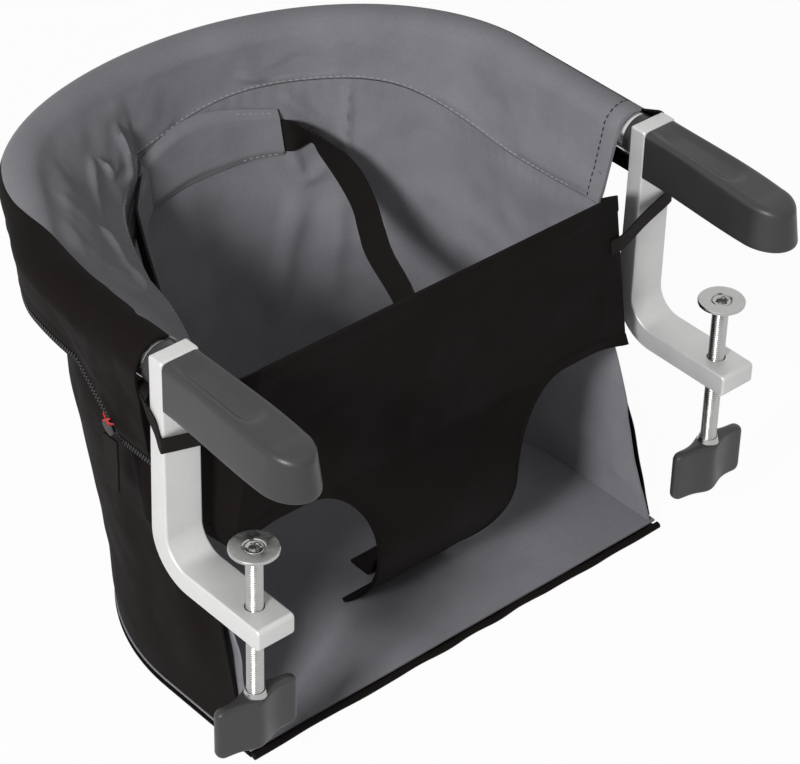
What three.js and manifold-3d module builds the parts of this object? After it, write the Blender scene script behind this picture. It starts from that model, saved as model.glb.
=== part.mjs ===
// Hook-on table chair: a fabric bucket seat hung from a bent tube, held on a table edge by two screw clamps.
// Millimetres, +Z up. The origin is midway between the clamps, where the table top (z = 0) meets the table
// edge (y = 0). The table lies towards -Y, the seat hangs towards +Y, and left is -X.

import * as THREE from 'three';
import { mergeVertices } from 'three/addons/utils/BufferGeometryUtils.js';
import Module from 'manifold-3d';

const wasm = await Module();
wasm.setup();

// Clearance between pieces that touch
const GAP = 0.3;

// Clamps
const CLAMP_X = 174;
const BRACKET_WIDTH = 25;
const BRACKET_TOP = 30.9;
const BAR_THICKNESS = 11.5;
const BEND_THICKNESS = 14;
const FOOT_TOP = -99.1;
const FOOT_LENGTH = 77.2;
const BEND_INNER_R = 16;
const EDGE_BEVEL = 1.2;
const FOOT_NOSE_R = 3;
const ARM_CORE_LENGTH = 92;
const ARM_CORE_WIDTH = 14;
const ARM_CORE_HEIGHT = 20;
const SPIGOT_R = 8;
const SPIGOT_LENGTH = 34;

// Arm pads
const PAD_LENGTH = 106;
const PAD_NOSE = 22;
const PAD_HALF_WIDTH = 16.5;
const PAD_FLARE = 2.6;
const PAD_TOP_DROP = 4.5;
const PAD_EDGE_R = 4;
const PAD_SOLE_EDGE = 1.5;

// Screws and knobs
const SCREW_Y = -58.7;
const SCREW_R = 4.9;
const TABLE_GAP = 58.5;
const PLATE_R = 14;
const PLATE_RIM = 2;
const PLATE_CONE = 4.5;
const PLATE_HUB_R = 6.6;
const NECK_R = 4.4;
const SCREW_LIP_R = 5.6;
const SCREW_LIP = 1.4;
const SCREW_LIP_SUNK = 0.4;
const SOCKET_R = 3.5;
const SOCKET_DEPTH = 4;
const KNOB_TOP = -160;
const KNOB_HEIGHT = 34;
const KNOB_SPAN = 53;
const KNOB_HUB = 17;
const WING_THICKNESS = 6.5;
const WING_SWEEP = 5;
const KNOB_REST_ANGLE = -14;
const KNOB_BEVEL = 2.4;
const FERRULE_WALL = 1.6;
const FERRULE_PROUD = 3;
const SCREW_IN_KNOB = 20;

// Bent tube
const TUBE_R = 12.5;
const TUBE_WALL = 1.5;
const TUBE_Z = 17.5;
const TUBE_BACK = 252;
const TUBE_BOW = 128;
const BUSH_FLANGE = 5;
const BUSH_LENGTH = 24;
const TUBE_EXPOSED = 6.5;

// Fabric
const CLOTH = 1.2;
const SEAM_GAP = 0.7;
const SLEEVE_PLAY = 0.7;
const SEAM_DROP = 34;
const SEAM_INSET_SIDE = 24;
const SEAM_INSET_BACK = 7;
const FLOOR_Z = -228.5;
const BASE_HALF_WIDTH = 159;
const BASE_FRONT = -35.6;
const BASE_BACK = 192;
const BASE_BOW = 150;
const WAIST_Z = -70;
const WAIST_FLARE_SIDE = 13;
const WAIST_FLARE_BACK = 34;
const WAIST_WALL_GAP = 5;
const LINER_FOOT_INSET = 4;
const SHELL_FOOT_INSET = 1;
const SHELL_TOP_Z = -5;
const SHELL_TOP_OUTSET = 2;
const SHELL_FRONT_OUTSET = 4;
const CUFF_EDGE_Z = -10;
const CUFF_OUTSET = 7;
const CUFF_TAIL_DROP = 32;
const CUFF_TAIL_LENGTH = 37;
const CUFF_TAIL_Y = 45;
const WALL_FRONT_Y = 20;
const WALL_KNEE_Y = 2;
const WALL_KNEE_DROP = 6;
const SLACK = 45;
const SLACK_LIFT = 65;
const SHELL_SLACK = 23;
const BOARD_THICKNESS = 2.5;
const BOARD_INSET = 3;
const PIPING_R = 2.2;

// Front panel
const PANEL_TOP_Z = 6;
const PANEL_Y = -9.7;
const PANEL_TOP_HALF_WIDTH = 131;
const PANEL_EAR_HALF_WIDTH = 148;
const PANEL_EAR_Z = -105;
const PANEL_RETURN = 3;
const PANEL_RETURN_TOP_Z = -18;
const LEG_TOP_Z = -99;
const LEG_ROUND_WIDTH = 47;
const LEG_FLAT_END = 28;
const CROTCH_HALF_WIDTH = 53;
const CROTCH_RISE = 74;
const CROTCH_FOOT_HALF_WIDTH = 37;
const CROTCH_FOOT_Y = 28.5;
const PANEL_BULGE = 10.5;

// Harness
const WEBBING_WIDTH = 20;
const WEBBING = 1.4;
const KEEPER_X = 16;
const KEEPER_HALF_WIDTH = 52;
const KEEPER_TOP_Z = -19;
const KEEPER_HEIGHT = 34;
const KEEPER_PLAY = 0.95;
const KEEPER_LEAD = 5;
const BUCKLE_WIDTH = 38;
const BUCKLE_HEIGHT = 40;
const BUCKLE_DEPTH = 12;
const BUCKLE_Y = 3;
const BUCKLE_TOP_Z = -80;
const BUTTON_WIDTH = 20;
const BUTTON_HEIGHT = 14;
const BUTTON_PROUD = 3;
const TONGUE_WIDTH = 15;
const TONGUE_THICKNESS = 3;
const TONGUE_BAR_HEIGHT = 12;
const TONGUE_ENGAGED = 14;
const TONGUE_LIP = 1;
const BUCKLE_WALL = 2;
const BUTTON_SEAT = 5;
const CROTCH_STRAP_REACH = 28;
const CROTCH_STRAP_SEWN = 16;

// Free stretches of the lap strap: from the left tongue to the keeper, and from the keeper to the right
// tongue, where it twists and each point has its direction across
const LAP_LEFT_ROUTE = [[-45, 20, -66], [-84, 32, -62], [-104, 66, -54], [-100, 112, -46], [-78, 152, -42],
  [-52, 188, -38]];
const LAP_RIGHT_ROUTE = [
  [[79, 201, -36], [-0.42, -0.35, 0.84]],
  [[86, 192, -43], [-0.15, -0.57, 0.81]],
  [[87, 173, -52], [0.18, -0.61, 0.77]],
  [[82, 150, -62], [0.23, -0.78, 0.59]],
  [[62, 113, -69], [0.29, -0.8, 0.52]],
  [[45, 74, -68], [0.15, -0.65, 0.74]],
  [[26, 38, -68], [0, -0.25, 0.97]],
];

// Tension straps and zip
const STRAP_WIDTH = 10;
const STRAP = 1;
const STRAP_Z = -11;
const STRAP_TURN = 1.5;
const STRAP_FALL = 7;
const STRAP_LEAD = 8;
const STRAP_SEWN = 14;
const RIVET_SHANK_R = 1.5;
const RIVET_HEAD_R = 3.2;
const RIVET_HEAD = 1.6;
const ZIP_WIDTH = 6;
const SLIDER_LENGTH = 9;
const SLIDER_WIDTH = 8;
const SLIDER_HEIGHT = 3;
const SLIDER_FROM_END = 6;
const PULL_PLAY = 0.9;
const PULL_WIDTH = 12;
const PULL_LENGTH = 34;

// Mesh counts
const STRAIGHT_STEPS = 4;
const ARC_STEPS = 16;
const CORNER_STEPS = 3;
const ROUND_STEPS = 24;

// Helpers

const lerp = THREE.MathUtils.lerp;
const vec = (x, y, z) => new THREE.Vector3(x, y, z);
const from = (a, b) => b.clone().sub(a);

// Value at t on a curve through a few [t, value] stations, t falling from one to the next
function profile(stations, t) {
  if (t >= stations[0][0]) return stations[0][1];
  for (let i = 1; i < stations.length; i += 1) {
    const [t0, v0] = stations[i - 1];
    const [t1, v1] = stations[i];
    if (t >= t1) return lerp(v0, v1, (t - t0) / (t1 - t0));
  }
  return stations[stations.length - 1][1];
}

function indexedGeometry(points, triangles) {
  const geometry = new THREE.BufferGeometry();
  const positions = points.flatMap((p) => [p.x, p.y, p.z]);
  geometry.setAttribute('position', new THREE.Float32BufferAttribute(positions, 3));
  geometry.setIndex(triangles);
  return geometry;
}

function toManifold(geometry) {
  const bare = geometry.clone();
  bare.deleteAttribute('normal');
  bare.deleteAttribute('uv');
  const merged = mergeVertices(bare, 1e-4);
  return new wasm.Manifold(new wasm.Mesh({
    numProp: 3,
    vertProperties: new Float32Array(merged.attributes.position.array),
    triVerts: new Uint32Array(merged.index.array),
  }));
}

function toGeometry(solid) {
  const mesh = solid.getMesh();
  const geometry = new THREE.BufferGeometry();
  geometry.setAttribute('position', new THREE.BufferAttribute(new Float32Array(mesh.vertProperties), 3));
  geometry.setIndex(new THREE.BufferAttribute(new Uint32Array(mesh.triVerts), 1));
  return geometry;
}

function join(first, ...others) {
  return toGeometry(others.reduce((solid, g) => solid.add(toManifold(g)), toManifold(first)));
}

function cut(first, ...others) {
  return toGeometry(others.reduce((solid, g) => solid.subtract(toManifold(g)), toManifold(first)));
}

function signedVolume(points, triangles) {
  let volume = 0;
  for (let i = 0; i < triangles.length; i += 3) {
    const [a, b, c] = [0, 1, 2].map((k) => points[triangles[i + k]]);
    volume += a.dot(vec(0, 0, 0).crossVectors(b, c));
  }
  return volume;
}

// Closed solid of even thickness about a grid of points
function sheet(grid, thickness) {
  const rows = grid.length;
  const columns = grid[0].length;
  const points = [];
  for (const side of [1, -1]) {
    for (let i = 0; i < rows; i += 1) {
      for (let j = 0; j < columns; j += 1) {
        const along = from(grid[Math.max(i - 1, 0)][j], grid[Math.min(i + 1, rows - 1)][j]);
        const across = from(grid[i][Math.max(j - 1, 0)], grid[i][Math.min(j + 1, columns - 1)]);
        const normal = across.cross(along).normalize();
        points.push(grid[i][j].clone().addScaledVector(normal, (side * thickness) / 2));
      }
    }
  }
  const at = (side, i, j) => side * rows * columns + i * columns + j;
  const triangles = [];
  const quad = (a, b, c, d) => triangles.push(a, b, c, a, c, d);
  for (let i = 0; i + 1 < rows; i += 1) {
    for (let j = 0; j + 1 < columns; j += 1) {
      quad(at(0, i, j), at(0, i + 1, j), at(0, i + 1, j + 1), at(0, i, j + 1));
      quad(at(1, i, j), at(1, i, j + 1), at(1, i + 1, j + 1), at(1, i + 1, j));
    }
    quad(at(0, i + 1, 0), at(0, i, 0), at(1, i, 0), at(1, i + 1, 0));
    quad(at(0, i, columns - 1), at(0, i + 1, columns - 1), at(1, i + 1, columns - 1), at(1, i, columns - 1));
  }
  for (let j = 0; j + 1 < columns; j += 1) {
    quad(at(0, 0, j), at(0, 0, j + 1), at(1, 0, j + 1), at(1, 0, j));
    quad(at(0, rows - 1, j + 1), at(0, rows - 1, j), at(1, rows - 1, j), at(1, rows - 1, j + 1));
  }
  if (signedVolume(points, triangles) < 0) triangles.reverse();
  return indexedGeometry(points, triangles);
}

// Flat strap along a route of [point, direction across the strap]
function strap(route, width, thickness) {
  const half = width / 2;
  const edges = ([point, across]) => [-half, half].map((d) => point.clone().addScaledVector(across, d));
  return sheet(route.map(edges), thickness);
}

// Closed solid through rings of points, with flat ends
function loft(rings) {
  const count = rings[0].length;
  const points = rings.flat();
  const triangles = [];
  for (let i = 0; i + 1 < rings.length; i += 1) {
    for (let j = 0; j < count; j += 1) {
      const k = (j + 1) % count;
      triangles.push(i * count + j, i * count + k, (i + 1) * count + k);
      triangles.push(i * count + j, (i + 1) * count + k, (i + 1) * count + j);
    }
  }
  const last = (rings.length - 1) * count;
  for (let j = 1; j + 1 < count; j += 1) {
    triangles.push(0, j + 1, j);
    triangles.push(last, last + j, last + j + 1);
  }
  if (signedVolume(points, triangles) < 0) triangles.reverse();
  return indexedGeometry(points, triangles);
}

// Solid of revolution about Y through (x, z)
function turned(profilePoints, x, z) {
  const points = profilePoints.map(([r, y]) => new THREE.Vector2(r, y));
  const closed = points[0].x > 0 ? [...points, points[0].clone()] : points;
  return new THREE.LatheGeometry(closed, ROUND_STEPS).translate(x, 0, z);
}

// Solid of revolution about the vertical through (x, y)
function turnedUp(profilePoints, x, y) {
  return turned(profilePoints, 0, 0).rotateX(Math.PI / 2).translate(x, y, 0);
}

function box(xs, ys, zs) {
  const geometry = new THREE.BoxGeometry(xs[1] - xs[0], ys[1] - ys[0], zs[1] - zs[0]);
  return geometry.translate((xs[0] + xs[1]) / 2, (ys[0] + ys[1]) / 2, (zs[0] + zs[1]) / 2);
}

// Plan curve of a U: straight sides from the front, half an ellipse at the back, left end first.
// The sides may narrow to another half width at the front, and may have stations of their own.
function planU(halfWidth, front, back, bow, frontHalfWidth = halfWidth, stations = null) {
  const bend = back - bow;
  const even = Array.from({ length: STRAIGHT_STEPS }, (_, i) => lerp(front, bend, i / STRAIGHT_STEPS));
  const left = (stations ?? even).map((y) => {
    const t = (y - front) / (bend - front);
    return [-lerp(frontHalfWidth, halfWidth, THREE.MathUtils.smoothstep(t, 0, 0.5)), y];
  });
  const arc = [];
  for (let i = 0; i <= ARC_STEPS; i += 1) {
    const angle = (Math.PI * i) / ARC_STEPS;
    arc.push([-halfWidth * Math.cos(angle), bend + bow * Math.sin(angle)]);
  }
  const right = left.map(([x, y]) => [-x, y]).reverse();
  return [...left, ...arc, ...right];
}

// Outward directions of a plan curve
function outward(curve) {
  return curve.map((p, i) => {
    const a = curve[Math.max(i - 1, 0)];
    const b = curve[Math.min(i + 1, curve.length - 1)];
    return new THREE.Vector2(-(b[1] - a[1]), b[0] - a[0]).normalize();
  });
}

// Columns of a grid, drawn back from its neighbours by half a seam gap
function columnsOf(grid, start, end) {
  const pull = (p, next) => p.clone().addScaledVector(from(p, next).normalize(), SEAM_GAP / 2);
  const last = grid[0].length - 1;
  return grid.map((row) => {
    const part = row.slice(start, end + 1);
    const n = part.length - 1;
    const first = start > 0 ? pull(part[0], part[1]) : part[0];
    const final = end < last ? pull(part[n], part[n - 1]) : part[n];
    return [first, ...part.slice(1, n), final];
  });
}

// Materials

function finish(color, roughness, metalness = 0) {
  return new THREE.MeshStandardMaterial({ color, roughness, metalness });
}

const aluminium = () => finish(0xc9c9c7, 0.5, 0.6);
const zinc = () => finish(0xc4c7c6, 0.3, 0.9);
const rubber = () => finish(0x4a494a, 0.6);
const plastic = () => finish(0x3f3e40, 0.5);
const blackPlastic = () => finish(0x161617, 0.5);
const greyCloth = () => finish(0x6c6d72, 0.85);
const blackCloth = () => finish(0x1c1917, 0.9);
const webbing = () => finish(0x131213, 0.8);
const board = () => finish(0x3a3a3a, 0.7);

const chair = new THREE.Group();

function add(name, geometry, material, parent = chair) {
  const mesh = new THREE.Mesh(geometry, material);
  mesh.name = name;
  parent.add(mesh);
}

// Bent tube, hollow from end to end

const TUBE_FRONT = BAR_THICKNESS + GAP + BUSH_FLANGE + GAP;
const SLEEVE_FRONT = TUBE_FRONT + TUBE_EXPOSED;
const TUBE_SIDES = 24;

function tubeRing(p, direction, radius) {
  return Array.from({ length: TUBE_SIDES }, (_, k) => {
    const angle = (2 * Math.PI * (k + 0.5)) / TUBE_SIDES;
    const out = radius * Math.cos(angle);
    return vec(p[0] + direction.x * out, p[1] + direction.y * out, TUBE_Z + radius * Math.sin(angle));
  });
}

function sweptTube(curve, radius) {
  const directions = outward(curve);
  return loft(curve.map((p, i) => tubeRing(p, directions[i], radius)));
}

const OVERRUN = 1;
const tubeCurve = planU(CLAMP_X, TUBE_FRONT, TUBE_BACK, TUBE_BOW);
const boreCurve = planU(CLAMP_X, TUBE_FRONT - OVERRUN, TUBE_BACK, TUBE_BOW);
const RIVET_Y = TUBE_FRONT + TUBE_EXPOSED / 2;
const TUBE_BOTTOM = TUBE_Z - TUBE_R;
const TUBE_BORE_R = TUBE_R - TUBE_WALL;
const RIVET_TOP = TUBE_Z - (SPIGOT_R + TUBE_BORE_R) / 2;
const rivetHole = (x) => turnedUp([[0, -TUBE_R], [RIVET_SHANK_R + GAP, -TUBE_R],
  [RIVET_SHANK_R + GAP, RIVET_TOP + GAP], [0, RIVET_TOP + GAP]], x, RIVET_Y);
add('frame_tube', cut(sweptTube(tubeCurve, TUBE_R), sweptTube(boreCurve, TUBE_BORE_R),
  rivetHole(-CLAMP_X), rivetHole(CLAMP_X)), aluminium());

// Clamps, built for one side at x = 0 and set at each clamp

const HALF = BRACKET_WIDTH / 2;
const FOOT_BOTTOM = FOOT_TOP - BEND_THICKNESS;
const BEND_Z = FOOT_TOP + BEND_INNER_R;
const BEND_Y = -BEND_INNER_R;
const BEND_OUTER_R = BEND_INNER_R + BEND_THICKNESS;
const ARM_CORE_BOTTOM = (BRACKET_TOP - ARM_CORE_HEIGHT) / 2;

function bracketOutline() {
  const nose = -FOOT_LENGTH;
  const outline = new THREE.Shape();
  outline.moveTo(0, BRACKET_TOP);
  outline.lineTo(0, BEND_Z);
  outline.absarc(BEND_Y, BEND_Z, BEND_INNER_R, 0, -Math.PI / 2, true);
  outline.lineTo(nose + FOOT_NOSE_R, FOOT_TOP);
  outline.absarc(nose + FOOT_NOSE_R, FOOT_TOP - FOOT_NOSE_R, FOOT_NOSE_R, Math.PI / 2, Math.PI, false);
  outline.lineTo(nose, FOOT_BOTTOM + FOOT_NOSE_R);
  outline.absarc(nose + FOOT_NOSE_R, FOOT_BOTTOM + FOOT_NOSE_R, FOOT_NOSE_R, Math.PI, 1.5 * Math.PI, false);
  outline.lineTo(BEND_Y, FOOT_BOTTOM);
  outline.absarc(BEND_Y, BEND_Z, BEND_OUTER_R, -Math.PI / 2, 0, false);
  outline.lineTo(BAR_THICKNESS, 0);
  outline.lineTo(BAR_THICKNESS, BRACKET_TOP);
  return outline;
}

function bracket() {
  const plate = new THREE.ExtrudeGeometry(bracketOutline(), {
    depth: BRACKET_WIDTH - 2 * EDGE_BEVEL,
    bevelThickness: EDGE_BEVEL,
    bevelSize: EDGE_BEVEL,
    bevelOffset: -EDGE_BEVEL,
    bevelSegments: 1,
    curveSegments: 6,
  });
  plate.translate(0, 0, EDGE_BEVEL - HALF);
  plate.applyMatrix4(new THREE.Matrix4().makeBasis(vec(0, 1, 0), vec(0, 0, 1), vec(1, 0, 0)));
  const arm = box([-ARM_CORE_WIDTH / 2, ARM_CORE_WIDTH / 2], [-ARM_CORE_LENGTH, OVERRUN],
    [ARM_CORE_BOTTOM, ARM_CORE_BOTTOM + ARM_CORE_HEIGHT]);
  const spigotEnd = BAR_THICKNESS + SPIGOT_LENGTH;
  const spigotRoot = BAR_THICKNESS - OVERRUN;
  const spigot = turned([[0, spigotRoot], [SPIGOT_R, spigotRoot], [SPIGOT_R, spigotEnd], [0, spigotEnd]],
    0, TUBE_Z);
  const bore = turnedUp([[0, FOOT_BOTTOM - OVERRUN], [SCREW_R + GAP, FOOT_BOTTOM - OVERRUN],
    [SCREW_R + GAP, FOOT_TOP + OVERRUN], [0, FOOT_TOP + OVERRUN]], 0, SCREW_Y);
  return cut(join(plate, arm, spigot), bore);
}

// Rubber boot: straight flanks that flare downwards, a round nose and a pocket for the arm
function padSection(y) {
  const noseStart = -(PAD_LENGTH - PAD_NOSE);
  const inNose = Math.max(0, (noseStart - y) / PAD_NOSE);
  const round = Math.sqrt(Math.max(0, 1 - inNose * inNose));
  const along = Math.min(1, y / noseStart);
  const wide = lerp(HALF, PAD_HALF_WIDTH, THREE.MathUtils.smoothstep(along, 0, 1)) * round;
  const top = BRACKET_TOP - PAD_TOP_DROP * along * along - (1 - round) * PAD_TOP_DROP;
  const narrow = Math.max(wide - PAD_FLARE * along, wide * 0.6);
  const edge = Math.min(PAD_EDGE_R, narrow * 0.5);
  const sole = Math.min(PAD_SOLE_EDGE, wide * 0.3);
  const right = [[wide - sole, 0], [wide, sole], [narrow, top - edge],
    [narrow - edge * 0.3, top - edge * 0.3], [narrow - edge, top]];
  const left = right.map(([x, z]) => [-x, z]).reverse();
  return [...right, ...left].map(([x, z]) => vec(x, y, z));
}

function armPad() {
  const noseStart = -(PAD_LENGTH - PAD_NOSE);
  const stations = [-GAP, noseStart * 0.33, noseStart * 0.66, noseStart];
  for (const t of [0.35, 0.6, 0.78, 0.9, 0.97]) stations.push(noseStart - PAD_NOSE * t);
  const pocket = box([-ARM_CORE_WIDTH / 2 - GAP, ARM_CORE_WIDTH / 2 + GAP], [-ARM_CORE_LENGTH - GAP, OVERRUN],
    [ARM_CORE_BOTTOM - GAP, ARM_CORE_BOTTOM + ARM_CORE_HEIGHT + GAP]);
  return cut(loft(stations.map(padSection)), pocket);
}

// Plate that presses up under the table; it turns on the neck of the screw, under the screw's spread lip
const PLATE_TOP = -TABLE_GAP;
const PLATE_BOTTOM = PLATE_TOP - PLATE_RIM - PLATE_CONE;
const LIP_TOP = PLATE_TOP - SCREW_LIP_SUNK;
const LIP_BOTTOM = LIP_TOP - SCREW_LIP;

function pressurePlate() {
  const bore = NECK_R + GAP;
  const recess = SCREW_LIP_R + GAP;
  return turnedUp([[bore, PLATE_BOTTOM], [PLATE_HUB_R, PLATE_BOTTOM], [PLATE_R, PLATE_TOP - PLATE_RIM],
    [PLATE_R, PLATE_TOP], [recess, PLATE_TOP], [recess, LIP_BOTTOM - GAP], [bore, LIP_BOTTOM - GAP]],
    0, SCREW_Y);
}

function clampScrew() {
  const end = KNOB_TOP - SCREW_IN_KNOB;
  const shoulder = PLATE_BOTTOM - GAP;
  const body = turnedUp([[0, end], [SCREW_R, end], [SCREW_R, shoulder], [NECK_R, shoulder],
    [NECK_R, LIP_BOTTOM], [SCREW_LIP_R, LIP_BOTTOM], [SCREW_LIP_R, LIP_TOP], [0, LIP_TOP]], 0, SCREW_Y);
  const depth = SOCKET_DEPTH + OVERRUN;
  const socket = new THREE.CylinderGeometry(SOCKET_R, SOCKET_R, depth, 6).rotateX(Math.PI / 2);
  return cut(body, socket.translate(0, SCREW_Y, LIP_TOP + OVERRUN - depth / 2));
}

const FERRULE_R = SCREW_R + GAP + FERRULE_WALL;
const FERRULE_END = KNOB_TOP - SCREW_IN_KNOB;

function knobFerrule() {
  const rim = KNOB_TOP + FERRULE_PROUD;
  return turnedUp([[SCREW_R + GAP, FERRULE_END], [FERRULE_R, FERRULE_END], [FERRULE_R, rim],
    [SCREW_R + GAP, rim]], 0, SCREW_Y);
}

// Plan of the knob: a hub that thins into two wings, swept to opposite sides
function knobOutline() {
  const steps = 20;
  const reach = KNOB_SPAN / 2;
  const front = [];
  const back = [];
  for (let i = 0; i <= steps; i += 1) {
    const x = lerp(-reach, reach, i / steps);
    const middle = WING_SWEEP * Math.sin((Math.PI * x) / KNOB_SPAN);
    const hub = Math.exp(-((x / (KNOB_HUB * 0.55)) ** 2));
    const half = lerp(WING_THICKNESS, KNOB_HUB, hub) / 2;
    front.push(new THREE.Vector2(x, middle - half));
    back.push(new THREE.Vector2(x, middle + half));
  }
  return new THREE.Shape([...front, ...back.reverse()]);
}

function wingKnob() {
  const body = new THREE.ExtrudeGeometry(knobOutline(), {
    depth: KNOB_HEIGHT - 2 * KNOB_BEVEL,
    bevelThickness: KNOB_BEVEL,
    bevelSize: KNOB_BEVEL * 0.6,
    bevelOffset: -KNOB_BEVEL * 0.6,
    bevelSegments: 1,
  });
  body.rotateZ(THREE.MathUtils.degToRad(KNOB_REST_ANGLE));
  body.translate(0, SCREW_Y, KNOB_TOP - KNOB_HEIGHT + KNOB_BEVEL);
  const socketEnd = FERRULE_END - GAP;
  const mouth = KNOB_TOP + OVERRUN;
  const socket = turnedUp([[0, socketEnd], [FERRULE_R + GAP, socketEnd], [FERRULE_R + GAP, mouth],
    [0, mouth]], 0, SCREW_Y);
  return cut(body, socket);
}

function tubeBush() {
  const start = BAR_THICKNESS + GAP;
  const flangeEnd = start + BUSH_FLANGE;
  const end = start + BUSH_LENGTH;
  const ring = turned([[SPIGOT_R + GAP, start], [TUBE_R, start], [TUBE_R, flangeEnd],
    [TUBE_BORE_R - GAP, flangeEnd], [TUBE_BORE_R - GAP, end], [SPIGOT_R + GAP, end]], 0, TUBE_Z);
  return cut(ring, rivetHole(0));
}

// Tension strap of the right side: riveted under the tube, round the outside and the front of the bar,
// then sewn to the front panel's corner
const STRAP_UNDER_TUBE = TUBE_BOTTOM - GAP - STRAP / 2;
const RIVET_HEAD_TOP = STRAP_UNDER_TUBE - STRAP / 2 - GAP;

function tensionStrap() {
  const alongY = vec(0, 1, 0);
  const upright = vec(0, 0, 1);
  const side = HALF + GAP + STRAP / 2;
  const front = -GAP - STRAP / 2;
  const panelFace = PANEL_Y - CLOTH / 2 - GAP - STRAP / 2;
  const cornerX = PANEL_TOP_HALF_WIDTH - CLAMP_X;
  const route = [
    [vec(-STRAP_WIDTH / 2, RIVET_Y, STRAP_UNDER_TUBE), alongY],
    [vec(STRAP_WIDTH / 2, RIVET_Y, STRAP_UNDER_TUBE), alongY],
    [vec(side - STRAP_TURN, RIVET_Y - STRAP_TURN, STRAP_UNDER_TUBE - STRAP_TURN),
      vec(0, 0.9, 0.4).normalize()],
    [vec(side, BAR_THICKNESS + 2 * STRAP_TURN, STRAP_UNDER_TUBE - STRAP_FALL), vec(0, 0.4, 0.9).normalize()],
    [vec(side, BAR_THICKNESS / 2, (STRAP_Z + STRAP_UNDER_TUBE - STRAP_FALL) / 2), upright],
    [vec(side, STRAP_TURN, STRAP_Z), upright],
    [vec(HALF - STRAP_TURN / 2, front, STRAP_Z), upright],
    [vec(-HALF + STRAP_TURN / 2, front, STRAP_Z), upright],
    [vec(cornerX + STRAP_LEAD, panelFace, STRAP_Z), upright],
    [vec(cornerX - STRAP_SEWN, panelFace, STRAP_Z), upright],
  ];
  return cut(strap(route, STRAP_WIDTH, STRAP), rivetHole(0));
}

function strapRivet() {
  const bottom = RIVET_HEAD_TOP - RIVET_HEAD;
  return turnedUp([[0, bottom], [RIVET_HEAD_R, bottom], [RIVET_HEAD_R, RIVET_HEAD_TOP],
    [RIVET_SHANK_R, RIVET_HEAD_TOP], [RIVET_SHANK_R, RIVET_TOP], [0, RIVET_TOP]], 0, RIVET_Y);
}

// Mirror image in X, with its faces turned out again
function mirrored(geometry) {
  const points = [];
  const position = geometry.attributes.position;
  for (let i = 0; i < position.count; i += 1) {
    points.push(vec(-position.getX(i), position.getY(i), position.getZ(i)));
  }
  const triangles = Array.from(geometry.index.array).reverse();
  return indexedGeometry(points, triangles);
}

for (const [side, x] of [['left', -CLAMP_X], ['right', CLAMP_X]]) {
  const clamp = new THREE.Group();
  clamp.position.x = x;
  chair.add(clamp);
  add(`${side}_bracket`, bracket(), aluminium(), clamp);
  add(`${side}_arm_pad`, armPad(), rubber(), clamp);
  add(`${side}_pressure_plate`, pressurePlate(), zinc(), clamp);
  add(`${side}_clamp_screw`, clampScrew(), zinc(), clamp);
  add(`${side}_knob_ferrule`, knobFerrule(), zinc(), clamp);
  add(`${side}_wing_knob`, wingKnob(), plastic(), clamp);
  add(`${side}_tube_bush`, tubeBush(), blackPlastic(), clamp);
  add(`${side}_strap_rivet`, strapRivet(), zinc(), clamp);
  const band = tensionStrap();
  add(`${side}_tension_strap`, side === 'right' ? band : mirrored(band), webbing(), clamp);
}

// Bucket: rim band, liner and shell, each a stack of plan curves

const SEAM_Z = TUBE_Z - SEAM_DROP;
const SEAM_HALF_WIDTH = CLAMP_X - SEAM_INSET_SIDE;
const SEAM_BACK = TUBE_BACK - SEAM_INSET_BACK;
const SLEEVE_R = TUBE_R + SLEEVE_PLAY + CLOTH / 2;
const WALL_FOOT_Z = FLOOR_Z + GAP;
const WALL_KNEE_Z = FOOT_BOTTOM - WALL_KNEE_DROP;

// Front edge of the side walls: upright behind the bracket, then forward to the floor's front corner
const wallFront = (z) => profile([[PANEL_EAR_Z, WALL_FRONT_Y], [WALL_KNEE_Z, WALL_KNEE_Y],
  [WALL_FOOT_Z, BASE_FRONT + SHELL_FOOT_INSET]], z);
const linerHalfWidth = (z) => profile([[SEAM_Z, SEAM_HALF_WIDTH],
  [WAIST_Z, PANEL_EAR_HALF_WIDTH + PANEL_RETURN], [WALL_FOOT_Z, BASE_HALF_WIDTH - LINER_FOOT_INSET]], z);
const linerBack = (z) => profile([[SEAM_Z, SEAM_BACK],
  [WAIST_Z, BASE_BACK + WAIST_FLARE_BACK - WAIST_WALL_GAP], [WALL_FOOT_Z, BASE_BACK - LINER_FOOT_INSET]], z);
const shellHalfWidth = (z) => profile([[SHELL_TOP_Z, CLAMP_X + SHELL_TOP_OUTSET],
  [WAIST_Z, BASE_HALF_WIDTH + WAIST_FLARE_SIDE], [WALL_FOOT_Z, BASE_HALF_WIDTH - SHELL_FOOT_INSET]], z);
const shellBack = (z) => profile([[SHELL_TOP_Z, TUBE_BACK + SHELL_TOP_OUTSET],
  [WAIST_Z, BASE_BACK + WAIST_FLARE_BACK], [WALL_FOOT_Z, BASE_BACK - SHELL_FOOT_INSET]], z);
const wallBow = (z) => profile([[SEAM_Z, TUBE_BOW], [WALL_FOOT_Z, BASE_BOW]], z);

// The empty bucket's slack: its rim band and liner lean in along the left side, most just below the rim.
const slackAlong = (i) => {
  const t = Math.min(1, i / (STRAIGHT_STEPS + ARC_STEPS / 2));
  return Math.max(0, Math.sin(Math.PI * t)) ** 0.7;
};
const slackDown = (z) => profile([[SEAM_Z, 1], [WAIST_Z, 0.75], [WALL_KNEE_Z, 0.4], [WALL_FOOT_Z, 0]], z);

// The shell follows it less, and hangs straight from the zip
const shellSlackDown = (z) => profile([[SHELL_TOP_Z, 0], [lerp(SHELL_TOP_Z, WAIST_Z, 1 / 3), 1],
  [WAIST_Z, 0.6], [WALL_KNEE_Z, 0.4], [lerp(FOOT_BOTTOM, WALL_FOOT_Z, 0.5), 0.3], [WALL_FOOT_Z, 0]], z);

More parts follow.
